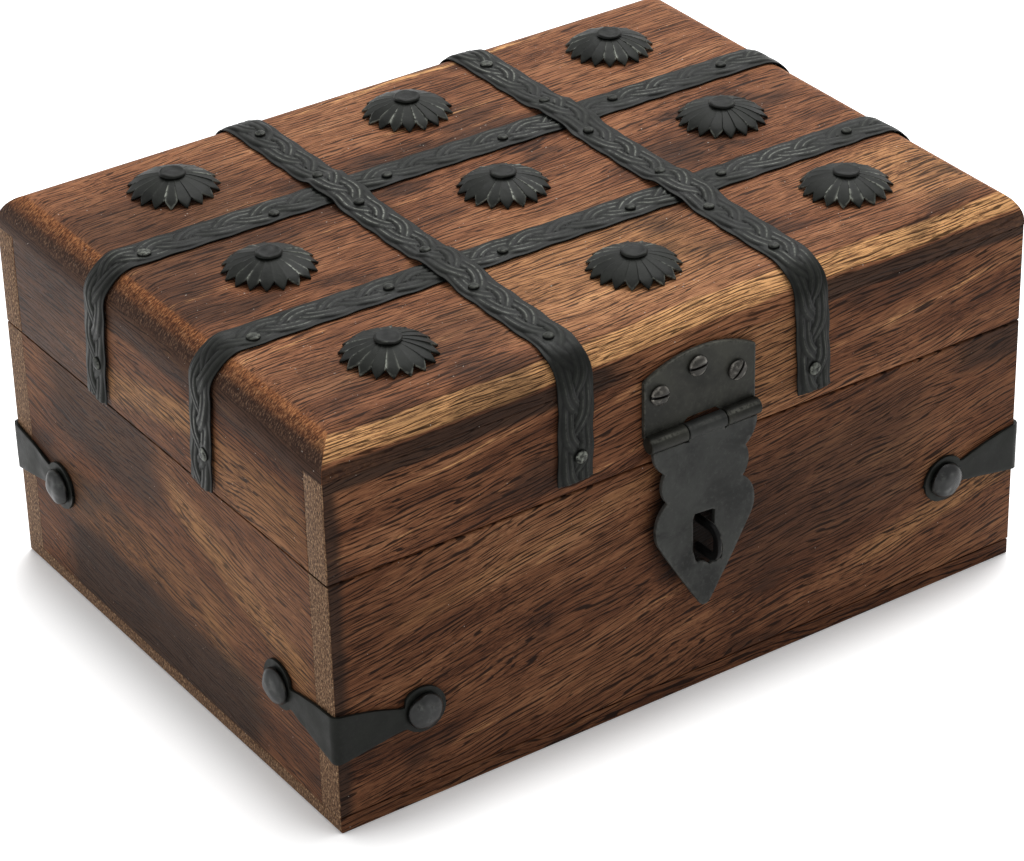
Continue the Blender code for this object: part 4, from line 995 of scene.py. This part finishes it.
def hasp_flap():
    """The swinging flap: scalloped sides down to a blunt tip, a slot for the staple, and its knuckle."""
    left, right = SPLITS
    side = []
    start = (FLAP_HALF, FLAP_NECK)
    for through, end in FLAP_EDGE:
        side += arc(start, through, end, 14)
        start = end
    down = [(x, -drop) for x, drop in side + [start, FLAP_TIP]]
    low, high = left + SLACK + SHY, right - SLACK - SHY
    outline = [(low, -FLAP_NECK), (low, -FLAP_ROOT), (high, -FLAP_ROOT), (high, -FLAP_NECK)]
    outline += down + [(-x, z) for x, z in reversed(down)]
    hole = [(x, -drop) for x, drop in FLAP_SLOT]
    bm = cut_sheet(outline, [hole], step=1.8, warp=0.18, edge_wear=0.12)
    bmesh.ops.translate(bm, verts=bm.verts, vec=(0, 0.1, 0))

    # The shoulders beside the flap's own knuckle come up close under the plate's knuckles
    for vert in bm.verts:
        shoulder = vert.co.z > -2.75 and not left < vert.co.x < right
        if shoulder and vert.co.y < -0.4:
            vert.co.z += 0.45
    knuckle(bm, left + SLACK, right - SLACK)
    bmesh.ops.translate(bm, verts=bm.verts, vec=HASP)
    finished(bm, "hasp_swing", "hasp_flap", FLAP_IRON, ["hasp_flap"], smooth=35)


def hasp_staple():
    """The loop for a padlock: a flat bar bent to a D, with both legs in the front board."""
    low, high = (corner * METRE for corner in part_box("hasp_staple"))
    bottom = low.z + STAPLE_THICK / 2
    top = high.z - STAPLE_THICK / 2
    nose = low.y + STAPLE_THICK / 2
    path = [(-HALF_DEPTH + STAPLE_IN_WOOD, bottom)]
    for step in range(13):
        angle = step / 12 * pi / 2
        y = nose + STAPLE_BEND - STAPLE_BEND * sin(angle)
        path.append((y, bottom + STAPLE_BEND - STAPLE_BEND * cos(angle)))
    path += [(y, bottom + top - z) for y, z in reversed(path)]
    path = [Vector(point) for point in path]
    lengths = [0]
    for first, second in zip(path, path[1:]):
        lengths.append(lengths[-1] + (second - first).length)

    def place(u, v):
        run = u * lengths[-1]
        index = max(i for i in range(len(path) - 1) if lengths[i] <= run + 1e-6)
        share = (run - lengths[index]) / max(lengths[index + 1] - lengths[index], 1e-6)
        spot = path[index].lerp(path[index + 1], share)
        way = (path[index + 1] - path[index]).normalized()
        spot = spot + Vector((-way.y, way.x)) * (v - 0.5) * STAPLE_THICK
        return Vector((low.x + STAPLE_TRIM, spot.x, spot.y)), 0

    bm = bmesh.new()
    ribbon(bm, 60, 4, place)
    bmesh.ops.recalc_face_normals(bm, faces=bm.faces)
    push_out(bm, (high.x - low.x - 2 * STAPLE_TRIM, 0, 0))
    wear_and_painted_light = bm.verts.layers.float["wear_and_painted_light"]
    # A painted highlight along the loop's outer edge on its right side
    for vert in bm.verts:
        outer = vert.co.y < low.y + 0.5 or vert.co.z > high.z - 0.4
        vert[wear_and_painted_light] = 0.8 * (outer and vert.co.x > high.x - 0.20)
    finished(bm, "hasp_loop", "base", SHADED_LOOP_IRON, ["hasp_staple"], smooth=40)


def hasp_screw(side, turn):
    """A round-headed screw with a straight slot, rubbed on its face and rim, with painted shade in its slot
    and under its head.
    """
    node = f"hasp_screw_{side}"
    low, high = (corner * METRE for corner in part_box(node))
    centre = Vector(((low.x + high.x) / 2, -HALF_DEPTH, (low.z + high.z) / 2))
    bm = bmesh.new()
    turned(bm, SCREW_PROFILE, 40)
    for place in (-SLOT_HALF, SLOT_HALF):
        slice_through(bm, (0, place, 0), BACK)
    slot = []
    for face in bm.faces:
        middle = face.calc_center_median()
        if abs(middle.y) < 0.35 and middle.z > 1.9 and face.normal.z > 0.1:
            slot.append(face)
    made = bmesh.ops.extrude_face_region(bm, geom=slot)
    for item in made["geom"]:
        if isinstance(item, bmesh.types.BMVert):
            item.co.z = SLOT_FLOOR
    bmesh.ops.delete(bm, geom=[face for face in slot if face.is_valid], context="FACES_KEEP_BOUNDARY")
    wear_and_painted_light = bm.verts.layers.float.new("wear_and_painted_light")
    for vert in bm.verts:
        # Rubbed face and rim; painted shade in the slot and under the head
        rim = swell(off_axis(vert) - 2.35, 0.25)
        in_slot = abs(vert.co.y) < 0.37 and vert.co.z < 2.3
        vert[wear_and_painted_light] = max(0, 0.55 * rim + 0.9 * ruffle(vert, 0.8, turn)) - 1.5 * in_slot
        vert[wear_and_painted_light] -= 0.9 * (vert.co.z < 1.9)
    bmesh.ops.transform(bm, matrix=seat(FORWARD, centre, radians(turn)), verts=bm.verts)
    finished(bm, f"slotted_{side}", "lid", SCREW_IRON, [node], smooth=40)


hasp_plate()
hasp_flap()
hasp_staple()
for side, turn in SCREW_TURN.items():
    hasp_screw(side, turn)

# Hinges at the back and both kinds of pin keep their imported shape
for name, node in frame["nodes"].items():
    if name.startswith("hinge_") or name == "hasp_pin":
        node.data.materials.clear()
        node.data.materials.append(IRON)


# Studio

FLOOR_DROP = 0.0002
CAMERA_PLACE = (-0.46256, -0.69419, 0.53999)
CAMERA_HEADING = -33.66
CAMERA_DOWN = 31.13
CAMERA_ROLL = -1.53


def seen_directly(tree):
    """1 where the camera sees a surface, itself or in metal or glass, and 0 for the light that it gives."""
    rays = add(tree, "LightPath").outputs
    mirrored = sums(tree, "MAXIMUM", rays["Is Glossy Ray"], rays["Is Transmission Ray"])
    return sums(tree, "MAXIMUM", rays["Is Camera Ray"], mirrored)


floor_look, tree, shader = new_look("pale floor")
tree.nodes.remove(shader)
paper = add(tree, "BsdfDiffuse", {"Color": (0.9, 0.9, 0.9, 1)}).outputs[0]
# The floor's directly seen glow fades where ambient occlusion finds the box close by: a painted contact
# shadow round the box's foot
open_floor = add(tree, "AmbientOcclusion", {"Distance": 0.025}, samples=16).outputs["AO"]
lift = sums(tree, "MULTIPLY", seen_directly(tree), between(tree, open_floor, 0.45, 0.98, 0.15, 0.75))
white = add(tree, "Emission", {"Color": (1, 1, 1, 1), "Strength": lift}).outputs[0]
both = add(tree, "AddShader", {0: paper, 1: white}).outputs[0]
join(tree, tree.nodes["Material Output"], {"Surface": both})
bm = bmesh.new()
bmesh.ops.create_grid(bm, x_segments=1, y_segments=1, size=4)
mesh = bpy.data.meshes.new("floor")
bm.to_mesh(mesh)
bm.free()
mesh.materials.append(floor_look)
floor = bpy.data.objects.new("floor", mesh)
floor.location.z = -FLOOR_DROP
bpy.context.scene.collection.objects.link(floor)

world = bpy.data.worlds.new("studio")
bpy.context.scene.world = world
world.use_nodes = True
tree = world.node_tree
level = sums(tree, "MULTIPLY_ADD", seen_directly(tree), 0.56, 0.44)
join(tree, tree.nodes["Background"], {"Color": (1, 1, 1, 1), "Strength": level})


def softbox(name, place, size, power):
    """A square lamp that looks at the middle of the floor."""
    lamp = bpy.data.lights.new(name, "AREA")
    lamp.shape = "RECTANGLE"
    lamp.size = size
    lamp.size_y = size
    lamp.energy = power
    stand = bpy.data.objects.new(name, lamp)
    stand.location = place
    stand.rotation_euler = (-Vector(place)).to_track_quat("-Z", "Y").to_euler()
    bpy.context.scene.collection.objects.link(stand)


softbox("overhead", (0.52, 0.34, 1.12), 1.0, 14)
softbox("left_fill", (-1.1, -0.05, 0.45), 0.7, 1.9)

lens = bpy.data.cameras.new("camera")
lens.lens = 134.6
lens.sensor_width = 36
lens.clip_start = 0.01
camera = bpy.data.objects.new("camera", lens)
turn = Matrix.Rotation(radians(CAMERA_HEADING), 4, "Z") @ Matrix.Rotation(radians(90 - CAMERA_DOWN), 4, "X")
turn = turn @ Matrix.Rotation(radians(CAMERA_ROLL), 4, "Z")
camera.matrix_world = Matrix.Translation(CAMERA_PLACE) @ turn
bpy.context.scene.collection.objects.link(camera)
bpy.context.scene.camera = camera
bpy.context.scene.view_settings.view_transform = "Standard"
